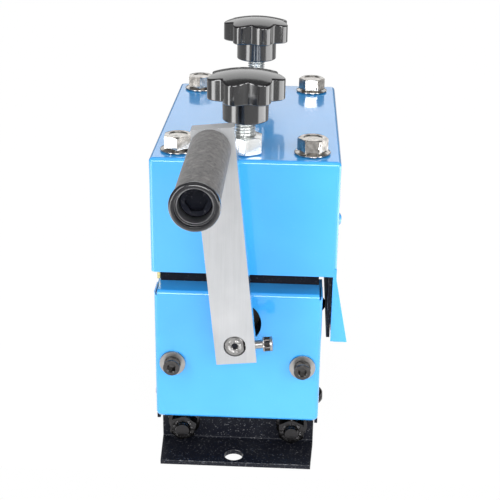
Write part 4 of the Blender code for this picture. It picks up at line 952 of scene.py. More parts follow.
class MACHINE_OT_feet(DressStep):
    """Bent angle feet with their bench screw holes"""

    bl_idname = "machine.feet"
    bl_label = "Feet"

    def dress(self, sizes, colours):
        inside = FOOT_BACK - FOOT_SHEET
        section = rounded([
            (FOOT_EDGE, 0, 0), (FOOT_BACK, 0, FOOT_BEND), (FOOT_BACK, FOOT_TOP, 0),
            (inside, FOOT_TOP, 0), (inside, FOOT_SHEET, FOOT_BEND - FOOT_SHEET), (FOOT_EDGE, FOOT_SHEET, 0),
        ])
        through = (-OVERRUN, FOOT_SHEET + OVERRUN)
        for end in ("front", "rear"):
            bar = prism(section, -FRAME_HALF, FRAME_HALF, "x")
            tools = [moved(rod(4.8, *through, "z", 64), x=-1.2, y=FOOT_EDGE + 7.0)]
            for side in (-1, 1):
                hole = rod(4.4, inside - OVERRUN, FOOT_BACK + OVERRUN, "y")
                tools.append(moved(hole, x=side * FOOT_BOLT_SPAN / 2, z=FOOT_BOLT_HEIGHT))
            edge = FOOT_EDGE - OVERRUN
            for side in (-1, 1):
                waste = [
                    (side * (FRAME_HALF - FOOT_TAPER), edge), (side * (FRAME_HALF + OVERRUN), edge),
                    (side * (FRAME_HALF + OVERRUN), FOOT_BACK), (side * FRAME_HALF, inside - OVERRUN),
                ]
                tools.append(prism(waste, *through, "z"))
            if end == "rear":
                bar, tools = turned_round(bar), [turned_round(tool) for tool in tools]
            foot = raw(f"angle_foot_{end}", bar, "black", "black_edge")
            cut(foot, *tools)
            soften(foot, 0.35, 2, 35.0, edge_finish=True)
            keep(foot, "root", "black_paint", f"{end}_foot")


class MACHINE_OT_rails(DressStep):
    """Side rails, the inlet guide plate and the exit liner"""

    bl_idname = "machine.rails"
    bl_label = "Rails and plates"

    def dress(self, sizes, colours):
        outline = rectangle(3.0, BODY_LENGTH - 3.0, RAIL_BOTTOM, RAIL_TOP, 1.5)
        for name, near, far in (("left", -RAIL_FAR, -RAIL_NEAR), ("right", RAIL_NEAR, RAIL_FAR)):
            rail = raw(f"tie_rail_{name}", prism(outline, near, far, "x"), "black", "black_edge")
            for _, y in ends():
                cut(rail, moved(rod(2.8, near - OVERRUN, far + OVERRUN, "x"), y=y, z=LOWER_SCREW_HEIGHT))
            soften(rail, 0.22, 2, 35.0, edge_finish=True)
            keep(rail, "root", "black_paint", f"{name}_rail")
        sheet = rectangle(FRAME_NEAR, BODY_LENGTH - FRAME_NEAR, 93.2, 124.0)
        plate = raw("wire_guide_plate", prism(sheet, -RAIL_FAR, -RAIL_NEAR, "x"), "yellow")
        for index, radius in enumerate((1.0, 1.5, 2.0, 2.5, 3.0, 3.5, 4.3)):
            y = BODY_LENGTH / 2 + (index - 3) * 12.5
            flare = [(0, -43), (radius + 1.55, -43), (radius + 0.35, -RAIL_FAR), (radius, -41.4)]
            flare += [(radius, -39), (0, -39)]
            cut(plate, moved(turned(flare, "x", 40), y=y, z=HOLE_HEIGHT))
        soften(plate, 0.15, 2, 50.0)
        keep(plate, "root", "yellow_zinc", "guide_plate")
        sheet = block((44.6, 46.4), (9.8, 152.2), (GUARD_BOTTOM + 1.0, 131.4))
        liner = raw("exit_wear_plate", sheet, "black", "black_edge")
        window = (COVER_NEAR + COVER_WINDOW_INSET, COVER_FAR - COVER_WINDOW_INSET)
        cut(liner, block((43, 48), window, EXIT_WINDOW))
        soften(liner, 0.2, 2, 35.0, edge_finish=True)
        keep(liner, "root", "black_paint", "exit_liner")


def socket_screw(radius, head_radius, head_height, socket, shank, knurled=False, finishes=()):
    """A cap screw with its head up and its seat at zero, knurled if asked."""
    rim = 0.5
    waist = head_radius - 0.1
    low, high = 0.8, head_height - 1.1
    profile = [(0, -shank), (radius - 0.3, -shank), (radius, -shank + 0.4), (radius, 0)]
    profile += [(head_radius - 0.2, 0), (head_radius, 0.2), (head_radius, low)]
    profile += [(waist, low + 0.1), (waist, high - 0.1), (head_radius, high)]
    profile += arc(head_radius - rim, head_height - rim, rim, 0, 1)
    profile += [(socket * 0.64, head_height), (0, head_height)]
    bm = turned(profile, "z", 96)
    if knurled:
        for vert in bm.verts:
            if low < vert.co.z < high and vert.co.xy.length > head_radius - 0.2:
                turn = round(math.atan2(vert.co.y, vert.co.x) / (2 * math.pi) * 96)
                vert.co.xy *= 1 - 0.04 * (turn % 2)
        for face in bm.faces:
            middle = face.calc_center_median()
            if low < middle.z < high and middle.xy.length > radius + 0.5:
                face.material_index = 1
    screw = raw("screw_source", bm, *finishes)
    recess = prism(hexagon(socket), head_height * 0.45, head_height + 1, "z")
    floor, over = head_height - 0.35, head_height + 0.1
    chamfer = [(0, floor), (socket * 0.5, floor), (socket * 0.64, over), (0, over)]
    cut(screw, recess, turned(chamfer, "z", 48))
    return screw


def hex_head(across_flats, height, flange=0.0, bore=0.0, both=False):
    """A hexagon with its corners chamfered, with a sloping flange or a bore if it has one."""
    corner = across_flats / math.sqrt(3) + 0.2
    inner = across_flats / 2 * 0.96
    rise = (corner - inner) * 0.42
    lathe = [(0, 0), (inner, 0), (corner, rise)] if both else [(0, 0), (corner, 0)]
    lathe += [(corner, height - rise), (inner, height), (0, height)]
    head = raw("hexagon_source", prism(hexagon(across_flats), 0, height, "z"))
    shape_with(head, "INTERSECT", turned(lathe, "z", 96))
    if flange:
        neck = across_flats / 2 - 0.1
        top = 1.0 + (flange - neck) * 0.42
        skirt = [(0, 0), (flange - 0.3, 0), *arc(flange - 0.4, 0.5, 0.4, -1, 1, 6), (neck, top), (0, top)]
        join(head, turned(skirt, "z", 96))
    if bore:
        cut(head, rod(bore, -1, height + 1, "z"))
    soften(head, 0.16, 2, 24.0)
    return head


def four(pattern):
    """The nodes of four alike pieces, in the order in which fastener_tree sets them."""
    return [pattern.format(end=end, side=side) for end in ("front", "rear") for side in ("left", "right")]


class MACHINE_OT_cover_bolts(DressStep):
    """Four flange bolts through the cover's top"""

    bl_idname = "machine.cover_bolts"
    bl_label = "Cover bolts"

    def dress(self, sizes, colours):
        bolt = hex_head(13.0, 8.0, flange=8.9)
        dish = [(0, 7.55), (4.2, 7.55), (4.9, 8.3), (0, 8.3)]
        cut(bolt, turned(dish, "z", 64))
        join(bolt, rod(3.95, -19, 1, "z"))
        bolt.name = "cover_flange_bolts"
        run_tree(bolt, fastener_tree(), **{
            "Middle": (TOP_ROW_X, BODY_LENGTH / 2, COVER_TOP + GAP), "Across": TOP_ROW_SPAN,
            "Along": BODY_LENGTH - 2 * FRAME_MID, "Axis": (0, 0, 1), "Loose Turn": math.pi / 3,
            "Seed": sizes.fastener_seed, "Finish": FINISHES["zinc"],
        })
        keep(bolt, "root", "bright_zinc", *four("{end}_cover_bolt_{side}"), angle=30.0)


class MACHINE_OT_foot_fasteners(DressStep):
    """Flange nuts on the feet, and the bolts they hold"""

    bl_idname = "machine.foot_fasteners"
    bl_label = "Foot bolts and nuts"

    def lay(self, obj, seed, pattern):
        """Turns a fastener that points up to point forwards, and keeps it at the four places."""
        obj.data.transform(Matrix.Rotation(math.pi / 2, 4, "X"))
        run_tree(obj, fastener_tree(), **{
            "Middle": (0, BODY_LENGTH / 2, FOOT_BOLT_HEIGHT), "Across": FOOT_BOLT_SPAN,
            "Along": BODY_LENGTH - 2 * FOOT_BOLT_SEAT, "Turn Rear": math.pi, "Axis": (0, 1, 0),
            "Loose Turn": math.pi / 3, "Seed": seed, "Finish": FINISHES["oxide"],
        })
        keep(obj, "root", "black_oxide", *four(pattern), angle=30.0)

    def dress(self, sizes, colours):
        nut = hex_head(13.0, 7.6, flange=8.3, bore=4.1)
        nut.name = "foot_flange_nuts"
        self.lay(nut, sizes.fastener_seed + 1, "{end}_foot_nut_{side}")
        bolt = raw("foot_thread_bolts", threaded(3.95, 0.45, 1.25, -15.4, 10.2))
        head = turned([(0, -15.4), (7.4, -15.4), (7.4, -20.7), (0, -20.7)], "z", 6)
        join(bolt, head)
        soften(bolt, 0.25, 1, 60.0)
        self.lay(bolt, sizes.fastener_seed + 2, "{end}_foot_bolt_{side}")


class MACHINE_OT_panel_screws(DressStep):
    """Socket screws of the lower panels, on their washers"""

    bl_idname = "machine.panel_screws"
    bl_label = "Panel screws"

    def dress(self, sizes, colours):
        screw = socket_screw(2.5, 4.25, 5.0, 4.0, 21.8, knurled=True)
        washer = raw("panel_washers", turned([
            (2.7, 0), *arc(6.4, 0.2, 0.2, -1, 0, 3), *arc(6.3, 0.9, 0.3, 0, 1, 3), (2.7, 1.2),
        ], "z", 72, bored=True))
        screw.name = "panel_cap_screws"
        screw.data.transform(Matrix.Translation((0, 0, 1.2)))
        for obj, finish in ((screw, "browned"), (washer, "washer")):
            obj.data.transform(Matrix.Rotation(math.pi / 2, 4, "X"))
            run_tree(obj, fastener_tree(), **{
                "Middle": (0, BODY_LENGTH / 2, PANEL_SCREW_HEIGHT), "Across": PANEL_SCREW_SPAN,
                "Along": BODY_LENGTH + 2 * GAP, "Turn Rear": math.pi, "Axis": (0, 1, 0),
                "Loose Turn": 1.0, "Seed": sizes.fastener_seed, "Finish": FINISHES[finish],
            })
            keep(obj, "root", "plain_steel", *four("{end}_panel_screw_{side}"), angle=30.0)


class MACHINE_OT_side_screws(DressStep):
    """Button head screws in the sides, and the two that hold the exit liner"""

    bl_idname = "machine.side_screws"
    bl_label = "Side screws"

    def button(self, radius, head_radius, head_height, socket, shank):
        """A button head screw that points out along +X, with its seat at zero."""
        ball = (head_radius ** 2 + head_height ** 2) / (2 * head_height)
        reach = math.asin(head_radius / ball)
        dome = [
            (ball * math.sin(reach * share), head_height - ball + ball * math.cos(reach * share))
            for share in (1.0, 0.9, 0.8, 0.7, 0.6, 0.5, 0.4)
        ]
        profile = [(0, -shank), (radius, -shank), (radius, 0), *dome, (0, dome[-1][1])]
        screw = raw("button_source", turned(profile, "z", 64))
        cut(screw, prism(hexagon(socket), head_height * 0.4, head_height + 1, "z"))
        soften(screw, 0.08, 2, 50.0)
        screw.data.transform(Matrix.Rotation(math.pi / 2, 4, "Y"))
        return screw

    def dress(self, sizes, colours):
        seat = RAIL_FAR + GAP
        screw = self.button(2.5, 4.75, 2.74, 3.0, seat - 32.0)
        screw.name = "rail_button_screws"
        run_tree(screw, fastener_tree(), **{
            "Middle": (0, BODY_LENGTH / 2, LOWER_SCREW_HEIGHT), "Across": 2 * seat,
            "Along": BODY_LENGTH - 2 * FRAME_MID, "Turn Left": math.pi, "Axis": (1, 0, 0),
            "Loose Turn": 1.0, "Seed": sizes.fastener_seed + 3, "Finish": FINISHES["oxide"],
        })
        keep(screw, "root", "black_oxide", *four("{end}_side_screw_{side}_lower"), angle=30.0)
        higher, lower = (PANEL_TOP - drop for drop in UPPER_SCREW_DROPS)
        for end, y, turned_side in (("front", FRAME_MID, 1), ("rear", BODY_LENGTH - FRAME_MID, -1)):
            for side_name, side in (("left", -1), ("right", 1)):
                screw = self.button(2.0, 3.6, 1.79, 2.5, 10.3)
                screw.name = f"panel_button_screw_{end}_{side_name}"
                screw.data.materials.append(FINISHES["oxide"])
                if side < 0:
                    screw.data.transform(Matrix.Rotation(math.pi, 4, "Z"))
                height = higher if side * turned_side > 0 else lower
                screw.data.transform(Matrix.Translation((side * (PANEL_HALF + GAP), y, height)))
                keep(screw, "root", "black_oxide", f"{end}_side_screw_{side_name}_upper", angle=30.0)
        for end, y in (("front", LINER_SCREW_INSET), ("rear", BODY_LENGTH - LINER_SCREW_INSET)):
            screw = self.button(2.0, 3.6, 1.79, 2.5, 4.1)
            screw.name = f"liner_button_screw_{end}"
            screw.data.materials.append(FINISHES["blue"])
            screw.data.transform(Matrix.Translation((48.8, y, 124.4)))
            keep(screw, "root", "blue_enamel", f"{end}_liner_screw", angle=30.0)


class MACHINE_OT_bushes(DressStep):
    """Bushes of the drive shaft, and the lock nuts of the adjusting rods"""

    bl_idname = "machine.bushes"
    bl_label = "Bushes and lock nuts"

    def dress(self, sizes, colours):
        for end, y in ends():
            profile = [(6.3, 12.2), (6.6, 12.0), (10.8, 12.0), (11.0, 12.2)]
            profile += [(11.0, 13.5), (9.3, 13.5), (9.3, 25.8), (6.3, 25.8)]
            ring = turned(profile, "y", 64, bored=True)
            bush = raw(f"shaft_bush_{end}", turned_round(ring) if end == "rear" else ring, "bush")
            bush.data.transform(Matrix.Translation((0, 0, SHAFT_HEIGHT)))
            keep(bush, "root", "bronze", f"{end}_bush")
            nut = hex_head(16.0, 8.4, bore=4.95, both=True)
            nut.name = f"rod_lock_nut_{end}"
            nut.data.materials.append(FINISHES["nut"])
            seat = Matrix.Translation((TOP_ROW_X, y, COVER_TOP + GAP))
            nut.data.transform(seat @ Matrix.Rotation(math.pi / 6, 4, "Z"))
            keep(nut, "root", "bright_zinc", f"{end}_lock_nut", angle=30.0)


class MACHINE_OT_crank(DressStep):
    """Crank arm with its clamp screw, drive shaft and handle pin"""

    bl_idname = "machine.crank"
    bl_label = "Crank"

    def dress(self, sizes, colours):
        outline = rectangle(-9.75, 9.75, -9.3, ARM_THROW + 9.2, 0.4)
        bar = prism(outline, ARM_FRONT, ARM_BACK, "y")
        # The arm's right side takes the pale aluminium as a painted highlight where the right lamp falls; the
        # rounded edges take it too
        for face in bar.faces:
            face.material_index = int(face.normal.x > 0.9)
        arm = raw("crank_bar", bar, "aluminium", "bright_edge")
        cut(arm, rod(5.4, ARM_FRONT - 1, ARM_BACK + 1, "y", 72))
        cut(arm, moved(rod(4.3, ARM_FRONT - 1, ARM_BACK + 1, "y"), x=PIN_OFFSET, z=ARM_THROW))
        cut(arm, moved(rod(2.3, 4.2, 10.75, "x"), y=CLAMP_PLACE, z=-CLAMP_DROP))
        soften(arm, 0.4, 3, 35.0, edge_finish=True)
        keep(arm, "crank", "brushed_aluminium", "crank_arm", within=CRANK_PLACE)

        rear = BODY_LENGTH - FRAME_NEAR + 2.0
        profile = [(0, ARM_FRONT), (4.6, ARM_FRONT), (5.1, ARM_FRONT + 0.5), (5.1, PIN_END)]
        profile += [(5.6, PIN_END), (6.0, -16.3), (6.0, rear - 0.6), (5.4, rear), (0, rear)]
        shaft = raw("drive_spindle", turned(profile, "y", 72), "steel")
        cut(shaft, block((4.2, 8), (ARM_FRONT - 1, ARM_BACK), (-8, 8)))
        cut(shaft, prism(hexagon(3.0), ARM_FRONT - 1, ARM_FRONT + 3, "y"))
        before, behind = ARM_FRONT - 0.1, ARM_FRONT + 0.3
        cut(shaft, turned([(0, before), (1.95, before), (1.5, behind), (0, behind)], "y", 48))
        keep(shaft, "crank", "plain_steel", "drive_shaft", within=CRANK_PLACE, angle=30.0)
        # A black plug at the bottom of the hex socket: painted shade in the recess
        floor = raw("shaft_socket_painted_shade", prism(hexagon(2.9), ARM_FRONT + 1.2, ARM_FRONT + 2.8, "y"), "black")
        keep(floor, "crank", "plain_steel", "drive_shaft", within=CRANK_PLACE)

        screw = socket_screw(2.0, 3.6, 4.6, 3.0, 8.85, knurled=True, finishes=("washer", "browned"))
        screw.name = "arm_clamp_screw"
        seat = Matrix.Translation((13.35, CLAMP_PLACE, -CLAMP_DROP))
        screw.data.transform(seat @ Matrix.Rotation(math.pi / 2, 4, "Y"))
        keep(screw, "crank", "plain_steel", "clamp_screw", within=CRANK_PLACE, angle=30.0)

        head = GRIP_NEAR + 14.0 - GAP
        profile = [(0, head - 6), (6.0, head - 6), (6.5, head - 5.5), (6.5, head), (4.0, head)]
        profile += [(4.0, PIN_END), *arc(4.0, -16.2, 1.2, -0.4, 0.6, 4), (0, -15.5)]
        # The pin takes the black frame paint: painted shade that keeps its head dark inside the grip's bore
        pin = raw("handle_bolt_painted_shade", turned(profile, "y", 56), "frame")
        cut(pin, prism(hexagon(8.0), head - 7, head - 3, "y"))
        keep(pin, "crank", "plain_steel", "handle_pin", within=GRIP_PLACE, angle=30.0)


class MACHINE_OT_grip(DressStep):
    """Rubber grip on the crank's pin, with a glossy rim round its mouth"""

    bl_idname = "machine.grip"
    bl_label = "Grip"

    def dress(self, sizes, colours):
        bead = GRIP_NEAR + 4.0
        profile = [(8.2, bead - 0.6), (9.1, bead - 0.6), (9.32, bead - 0.3)]
        profile += [(9.4, bead + 0.4), (9.4, GRIP_FAR - 1.4), *arc(8.2, GRIP_FAR - 1.2, 1.2, 0, 1)]
        profile += [(GRIP_BORE, GRIP_FAR), (GRIP_BORE, GRIP_NEAR + 15.5), (8.2, GRIP_NEAR + 15.5)]
        body = raw("grip_sleeve", turned(profile, "y", 96, bored=True), "rubber")
        keep(body, "handle", "grip_rubber", "grip", within=GRIP_PLACE, angle=50.0)
        rim = [(8.1, GRIP_NEAR + 14.0), (7.6, GRIP_NEAR + 14.0), (7.6, GRIP_NEAR + 1.6)]
        rim += arc(8.6, GRIP_NEAR + 1.6, 1.6, -1.6, 0, 14)[3:]
        rim += [(10.2, bead - 1.4), (9.9, bead - 0.8), (9.0, bead - 0.65), (8.1, bead - 0.65)]
        ring = raw("grip_rim", turned(rim, "y", 96, bored=True), "ring")
        keep(ring, "handle", "grip_rubber", "grip", within=GRIP_PLACE, angle=50.0)
        lining = [(7.58, 2.6), (7.58, 13.9), (6.9, 13.9), (6.9, 2.6), (7.05, 2.4), (7.4, 2.4)]
        lining = [(reach, GRIP_NEAR + along) for reach, along in lining]
        tube = raw("grip_inner_tube", turned(lining, "y", 96, bored=True), "tube")
        keep(tube, "handle", "grip_rubber", "grip", within=GRIP_PLACE, angle=50.0)


class MACHINE_OT_roller(DressStep):
    """Toothed feed roller, grooved under each cutter"""

    bl_idname = "machine.roller"
    bl_label = "Feed roller"

    def tooth(self, low, high, root, tip, half):
        """One tooth that runs from low to high, with its root at zero and half its width there given."""
        profile = [(root - 0.1, low), (tip, low + 0.3), (tip, high - 0.3), (root - 0.1, high)]
        bm = bmesh.new()
        left, right = (
            [bm.verts.new((reach - root, side * (half if reach < root else 0.15), along))
             for reach, along in profile]
            for side in (-1, 1)
        )
        bm.faces.new(left)
        bm.faces.new(reversed(right))
        for step in range(4):
            after = (step + 1) % 4
            bm.faces.new((left[after], left[step], right[step], right[after]))
        bmesh.ops.recalc_face_normals(bm, faces=bm.faces)
        return bm

    def dress(self, sizes, colours):
        start, end, radius = FRAME_INNER + 1.5, BODY_LENGTH - FRAME_INNER - 1.5, 20.0
        root = radius - 0.7
        profile = [(6.3, start), (root - 0.8, start), (root, start + 0.8)]
        lands, edge = [], start + 0.8
        for seat in CUTTER_SEATS:
            profile += [(root, seat - 3.5), (17.6, seat - 0.3), (17.6, seat + 0.3), (root, seat + 3.5)]
            lands.append((edge, seat - 3.5))
            edge = seat + 3.5
        lands.append((edge, end - 0.8))
        profile += [(root, end - 0.8), (root - 0.8, end), (6.3, end)]
        core = raw("feed_roller_core", turned(profile, "y", 96, bored=True), "steel")
        keep(core, "crank", "plain_steel", "feed_roller", within=CRANK_PLACE, angle=30.0)
        tree = knurl_tree()
        half = math.pi * root / sizes.roller_teeth
        for number, (low, high) in enumerate(lands, 1):
            teeth = raw(f"roller_teeth_{number}", self.tooth(low, high, root, radius - 0.25, half))
            run_tree(teeth, tree, Teeth=sizes.roller_teeth, Radius=root, Finish=FINISHES["steel"])
            teeth.data.transform(Matrix.Rotation(-math.pi / 2, 4, "X") @ Matrix.Scale(-1, 4, (0, 1, 0)))
            teeth.data.flip_normals()
            keep(teeth, "crank", "plain_steel", "feed_roller", within=CRANK_PLACE, angle=20.0)


class MACHINE_OT_cutters(DressStep):
    """Round cutters and the spindle they sit on"""

    bl_idname = "machine.cutters"
    bl_label = "Cutters"

    def dress(self, sizes, colours):
        for number, seat in enumerate(CUTTER_SEATS, 1):
            disc = [(6.3, -2.0), (15.2, -2.0), (15.6, -1.9), (17.95, -0.1), (18.0, 0), (17.95, 0.1)]
            disc += [(15.6, 1.9), (15.2, 2.0), (6.3, 2.0)]
            wheel = raw(f"round_cutter_{number}", turned(disc, "y", 128, bored=True), "cutter")
            wheel.data.transform(Matrix.Translation((0, seat, 0)))
            node = f"cutter_{number}"
            keep(wheel, "cutter_spindle", "plain_steel", node, within=CUTTER_PLACE, angle=12.0)
        profile = [(0, 13.8), (5.5, 13.8), (6.0, 14.3), (6.0, 28.9), (9.2, 28.9), (9.5, 29.2)]
        for seat in CUTTER_SEATS:
            profile += [(9.5, seat - 2.6), (9.2, seat - 2.3), (6.0, seat - 2.3)]
            profile += [(6.0, seat + 2.3), (9.2, seat + 2.3), (9.5, seat + 2.6)]
        profile += [(9.5, 132.8), (9.2, 133.1), (6.0, 133.1), (6.0, 147.7), (5.5, 148.2), (0, 148.2)]
        bar = raw("cutter_spindle_bar", turned(profile, "y", 72), "cutter")
        keep(bar, "cutter_spindle", "plain_steel", "cutter_shaft", within=CUTTER_PLACE, angle=30.0)


def polish_sides(obj):
    """The upright faces of a knob take the polished finish."""
    obj.data.materials.clear()
    for finish in ("plastic", "plastic_side"):
        obj.data.materials.append(FINISHES[finish])
    for face in obj.data.polygons:
        face.material_index = int(abs(face.normal.z) < 0.35)


class MACHINE_OT_adjusters(DressStep):
    """Threaded adjusting rods and their star knobs"""

    bl_idname = "machine.adjusters"
    bl_label = "Adjusting rods and knobs"

    def dress(self, sizes, colours):
        turns = {"front": math.radians(-110.0), "rear": math.radians(-74.0)}
        star = star_tree()
        for end, y in ends():
            place = Matrix.Translation((TOP_ROW_X, y, 0))
            bottom = COVER_TOP + KNOB_RISES[end]
            thread = threaded(4.9, 0.85, sizes.thread_pitch, 129.6, bottom + 11.7)
            stem = raw(f"threaded_rod_{end}", thread, "thread")
            collar = [(0, 126.2), (6.4, 126.2), (6.6, 126.4), (6.6, 129.0), (6.4, 129.2)]
            collar += [(4.3, 129.2), (4.3, 130.2), (0, 130.2)]
            join(stem, turned(collar, "z", 48))
            body = f"{end}_adjuster"
            keep(stem, body, "bright_zinc", f"{end}_adjusting_rod", within=place, angle=30.0)

            head = raw(f"star_knob_{end}", block((-1, 1), (-1, 1), (-1, 1)))
            run_tree(
                head, star, Lobes=sizes.knob_lobes, Radius=19.0, Valley=15.3, Power=0.7, Height=10.0,
                Dome=3.05, Finish=FINISHES["plastic"])
            head.data.transform(Matrix.Rotation(turns[end], 4, "Z"))
            soften(head, 0.7, 4, 50.0)
            polish_sides(head)
            head.data.transform(Matrix.Translation((0, 0, bottom + 15.8)))
            hub = [(5.2, 12.1), (5.2, 0.5), (5.7, 0), (10.6, 0), *arc(10.6, 0.7, 0.7, -1, 0), (11.3, 10.2)]
            hub += [(11.6, 10.9), (11.6, 12.1)]
            hub = [(reach, bottom + along) for reach, along in hub]
            boss = raw(f"knob_hub_{end}", turned(hub, "z", 96, bored=True), "plastic")
            polish_sides(boss)
            for obj in (boss, head):
                keep(obj, body, "black_plastic", f"{end}_knob", within=place, angle=50.0)


# How far the bench top reaches in front of the origin, in metres, and its share of plain white in view
BENCH_EDGE = 0.056
FLOOR_WHITE = 0.955

# Each lamp's name, place and size in metres, and power in watts. All aim at the machine's middle.
LAMPS = (
    ("left_softbox", (-0.80, -0.80, 0.42), (0.28, 1.1), 7.0),
    ("right_softbox", (0.90, -0.75, 0.40), (0.28, 1.1), 7.0),
    ("top_softbox", (0.0, -0.10, 1.15), (0.9, 0.5), 0.8),
    ("rear_softbox", (0.05, 1.60, 0.86), (2.0, 0.9), 5.6),
    ("front_fill", (0.12, -1.25, 0.66), (0.9, 0.45), 11.5),
)
LAMP_TARGET = (0.0, 0.0, 0.1)

# The camera: focal length and picture width in pixels, sensor in millimetres, yaw, pitch and roll in
# degrees, and the eye's place in the layout
FOCAL_PIXELS = 1098.9
PICTURE_PIXELS = 500.0
SENSOR_WIDTH = 36.0
CAMERA_TURNS = (2.445, -22.443, 0.794)
CAMERA_EYE = (26.70, -493.31, 319.92)


def plain_stage_material(name, colour, seen):
    """Plain white to the camera and the metal, with soft shadows, up to the bench's front edge."""
    made = bpy.data.materials.new(name)
    made.use_nodes = True
    tree = made.node_tree
    tree.nodes.clear()
    soft = add_node(tree, "ShaderNodeBsdfDiffuse", None, {"Color": (*colour, 1.0)})
    rays = add_node(tree, "ShaderNodeLightPath")
    camera, glossy = Term(tree, rays.outputs["Is Camera Ray"]), Term(tree, rays.outputs["Is Glossy Ray"])
    place = add_node(tree, "ShaderNodeTexCoord").outputs["Object"]
    split = add_node(tree, "ShaderNodeSeparateXYZ", None, {0: place})
    x, y = Term(tree, split.outputs[0]), Term(tree, split.outputs[1])
    # What metal mirrors: bright near the machine, darker ahead of it, brightest at its sides, grey far off
    reach = (x * x + y * y).math("SQRT")
    round_about = x.math("ARCTAN2", y * -1.0)
    left = round_about.above(-1.22, 0.10) * (1.0 - round_about.above(-0.86, 0.10))
    right = round_about.above(1.10, 0.12) * (1.0 - round_about.above(1.95, 0.15))
    ahead = 1.0 - (round_about - 0.05).math("ABSOLUTE").above(0.03, 0.28)
    close = 1.4 - reach.above(0.12, 0.25) * ahead * 0.85
    far = reach.above(0.45, 0.12)
    mirrored = close * (1.0 - far) + far * 0.42 + reach.above(0.20, 0.16) * (left * 4.6 + right * 3.0)
    strength = (1.0 - glossy) * 1.02 + glossy * mirrored
    glow = add_node(tree, "ShaderNodeEmission", None, {"Color": (1, 1, 1, 1), "Strength": strength})
    through = Term(tree, rays.outputs["Is Transmission Ray"])
    share = (camera * FLOOR_WHITE + (glossy + through) * seen).math("MINIMUM", 1.0)
    mixed = add_node(tree, "ShaderNodeMixShader", None, {0: share, 1: soft.outputs[0], 2: glow.outputs[0]})
    # Only the camera looks past the edge, so that the crank stays in view below the bench
    past_edge = camera * (y * -1.0).above(BENCH_EDGE, 0.001)
    gone = add_node(tree, "ShaderNodeBsdfTransparent", None, {"Color": (1, 1, 1, 1)})
    cut = add_node(tree, "ShaderNodeMixShader", None, {0: past_edge, 1: mixed.outputs[0], 2: gone.outputs[0]})
    out = add_node(tree, "ShaderNodeOutputMaterial")
    tree.links.new(cut.outputs[0], out.inputs[0])
    return made


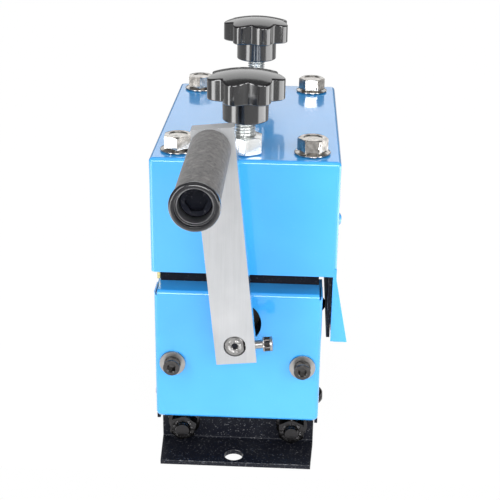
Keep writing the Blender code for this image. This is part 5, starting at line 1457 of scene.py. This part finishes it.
class MACHINE_OT_stage(DressStep):
    """Pale floor, white surroundings, studio lamps and the camera"""

    bl_idname = "machine.stage"
    bl_label = "Stage and camera"

    def lamp(self, name, place, size, watts):
        light = bpy.data.lights.new(name, "AREA")
        light.shape = "RECTANGLE"
        light.size, light.size_y = size
        light.energy = watts
        obj = bpy.data.objects.new(name, light)
        bpy.context.scene.collection.objects.link(obj)
        obj.location = place
        aim = Vector(LAMP_TARGET) - Vector(place)
        obj.rotation_mode = "QUATERNION"
        obj.rotation_quaternion = aim.to_track_quat("-Z", "Y")

    def bench(self):
        """The bench top, just under the feet."""
        grid = bmesh.new()
        bmesh.ops.create_grid(grid, x_segments=2, y_segments=2, size=3.0)
        mesh = bpy.data.meshes.new("bench_top")
        grid.to_mesh(mesh)
        grid.free()
        bench = bpy.data.objects.new("bench_top", mesh)
        bench.location.z = -0.0006
        mesh.materials.append(plain_stage_material("pale_floor", (0.82, 0.82, 0.82), 0.90))
        bpy.context.scene.collection.objects.link(bench)

    def room(self):
        """White to the camera and through clear things, and dimmer as a light and in mirrors."""
        world = bpy.data.worlds.new("white_room")
        bpy.context.scene.world = world
        world.use_nodes = True
        tree = world.node_tree
        back = tree.nodes["Background"]
        rays = add_node(tree, "ShaderNodeLightPath")
        camera = Term(tree, rays.outputs["Is Camera Ray"])
        through = Term(tree, rays.outputs["Is Transmission Ray"])
        glossy = Term(tree, rays.outputs["Is Glossy Ray"])
        feed(tree, back.inputs["Color"], (1, 1, 1, 1))
        seen = (camera + through).math("MINIMUM", 1.0)
        feed(tree, back.inputs["Strength"], seen + (1.0 - seen) * (0.42 - glossy * 0.25))

    def camera(self):
        """The camera, before the crank and above it, looking down at the front."""
        lens = bpy.data.cameras.new("camera")
        lens.sensor_width = SENSOR_WIDTH
        lens.lens = FOCAL_PIXELS * SENSOR_WIDTH / PICTURE_PIXELS
        lens.clip_start = 0.01
        eye = bpy.data.objects.new("camera", lens)
        bpy.context.scene.collection.objects.link(eye)
        yaw, pitch, roll = (math.radians(value) for value in CAMERA_TURNS)
        ahead = Vector((-math.sin(yaw) * math.cos(pitch), math.cos(yaw) * math.cos(pitch), math.sin(pitch)))
        right = ahead.cross(Vector((0, 0, 1))).normalized()
        up = right.cross(ahead)
        tilted = right * math.cos(roll) + up * math.sin(roll)
        upright = up * math.cos(roll) - right * math.sin(roll)
        turn = Matrix((tilted, upright, -ahead)).transposed().to_4x4()
        eye.matrix_world = Matrix.Translation(TO_FRAME @ Vector(CAMERA_EYE)) @ turn
        bpy.context.scene.camera = eye

    def dress(self, sizes, colours):
        bpy.context.scene.view_settings.view_transform = "Standard"
        self.bench()
        self.room()
        for lamp in LAMPS:
            self.lamp(*lamp)
        self.camera()


STEPS = (
    MACHINE_OT_finishes, MACHINE_OT_cover, MACHINE_OT_panels, MACHINE_OT_feet, MACHINE_OT_rails,
    MACHINE_OT_cover_bolts, MACHINE_OT_foot_fasteners, MACHINE_OT_panel_screws, MACHINE_OT_side_screws,
    MACHINE_OT_bushes, MACHINE_OT_crank, MACHINE_OT_grip, MACHINE_OT_roller, MACHINE_OT_cutters,
    MACHINE_OT_adjusters, MACHINE_OT_stage,
)


class MACHINE_PT_panel(bpy.types.Panel):
    """Lists the steps that dress the machine"""

    bl_idname = "MACHINE_PT_panel"
    bl_label = "Wire Stripper"
    bl_space_type = "VIEW_3D"
    bl_region_type = "UI"
    bl_category = "Wire Stripper"

    def draw(self, context):
        for group in (context.scene.machine_sizes, context.scene.machine_colours):
            for name in group.__annotations__:
                self.layout.prop(group, name)
        for step in STEPS:
            self.layout.operator(step.bl_idname)


CLASSES = (MachineSizes, MachineColours, *STEPS, MACHINE_PT_panel)


def register():
    for made in CLASSES:
        bpy.utils.register_class(made)
    bpy.types.Scene.machine_sizes = bpy.props.PointerProperty(type=MachineSizes)
    bpy.types.Scene.machine_colours = bpy.props.PointerProperty(type=MachineColours)


def unregister():
    del bpy.types.Scene.machine_colours
    del bpy.types.Scene.machine_sizes
    for made in reversed(CLASSES):
        bpy.utils.unregister_class(made)


def main():
    register()
    for step in STEPS:
        group, name = step.bl_idname.split(".")
        getattr(getattr(bpy.ops, group), name)()


if __name__ == "__main__":
    main()
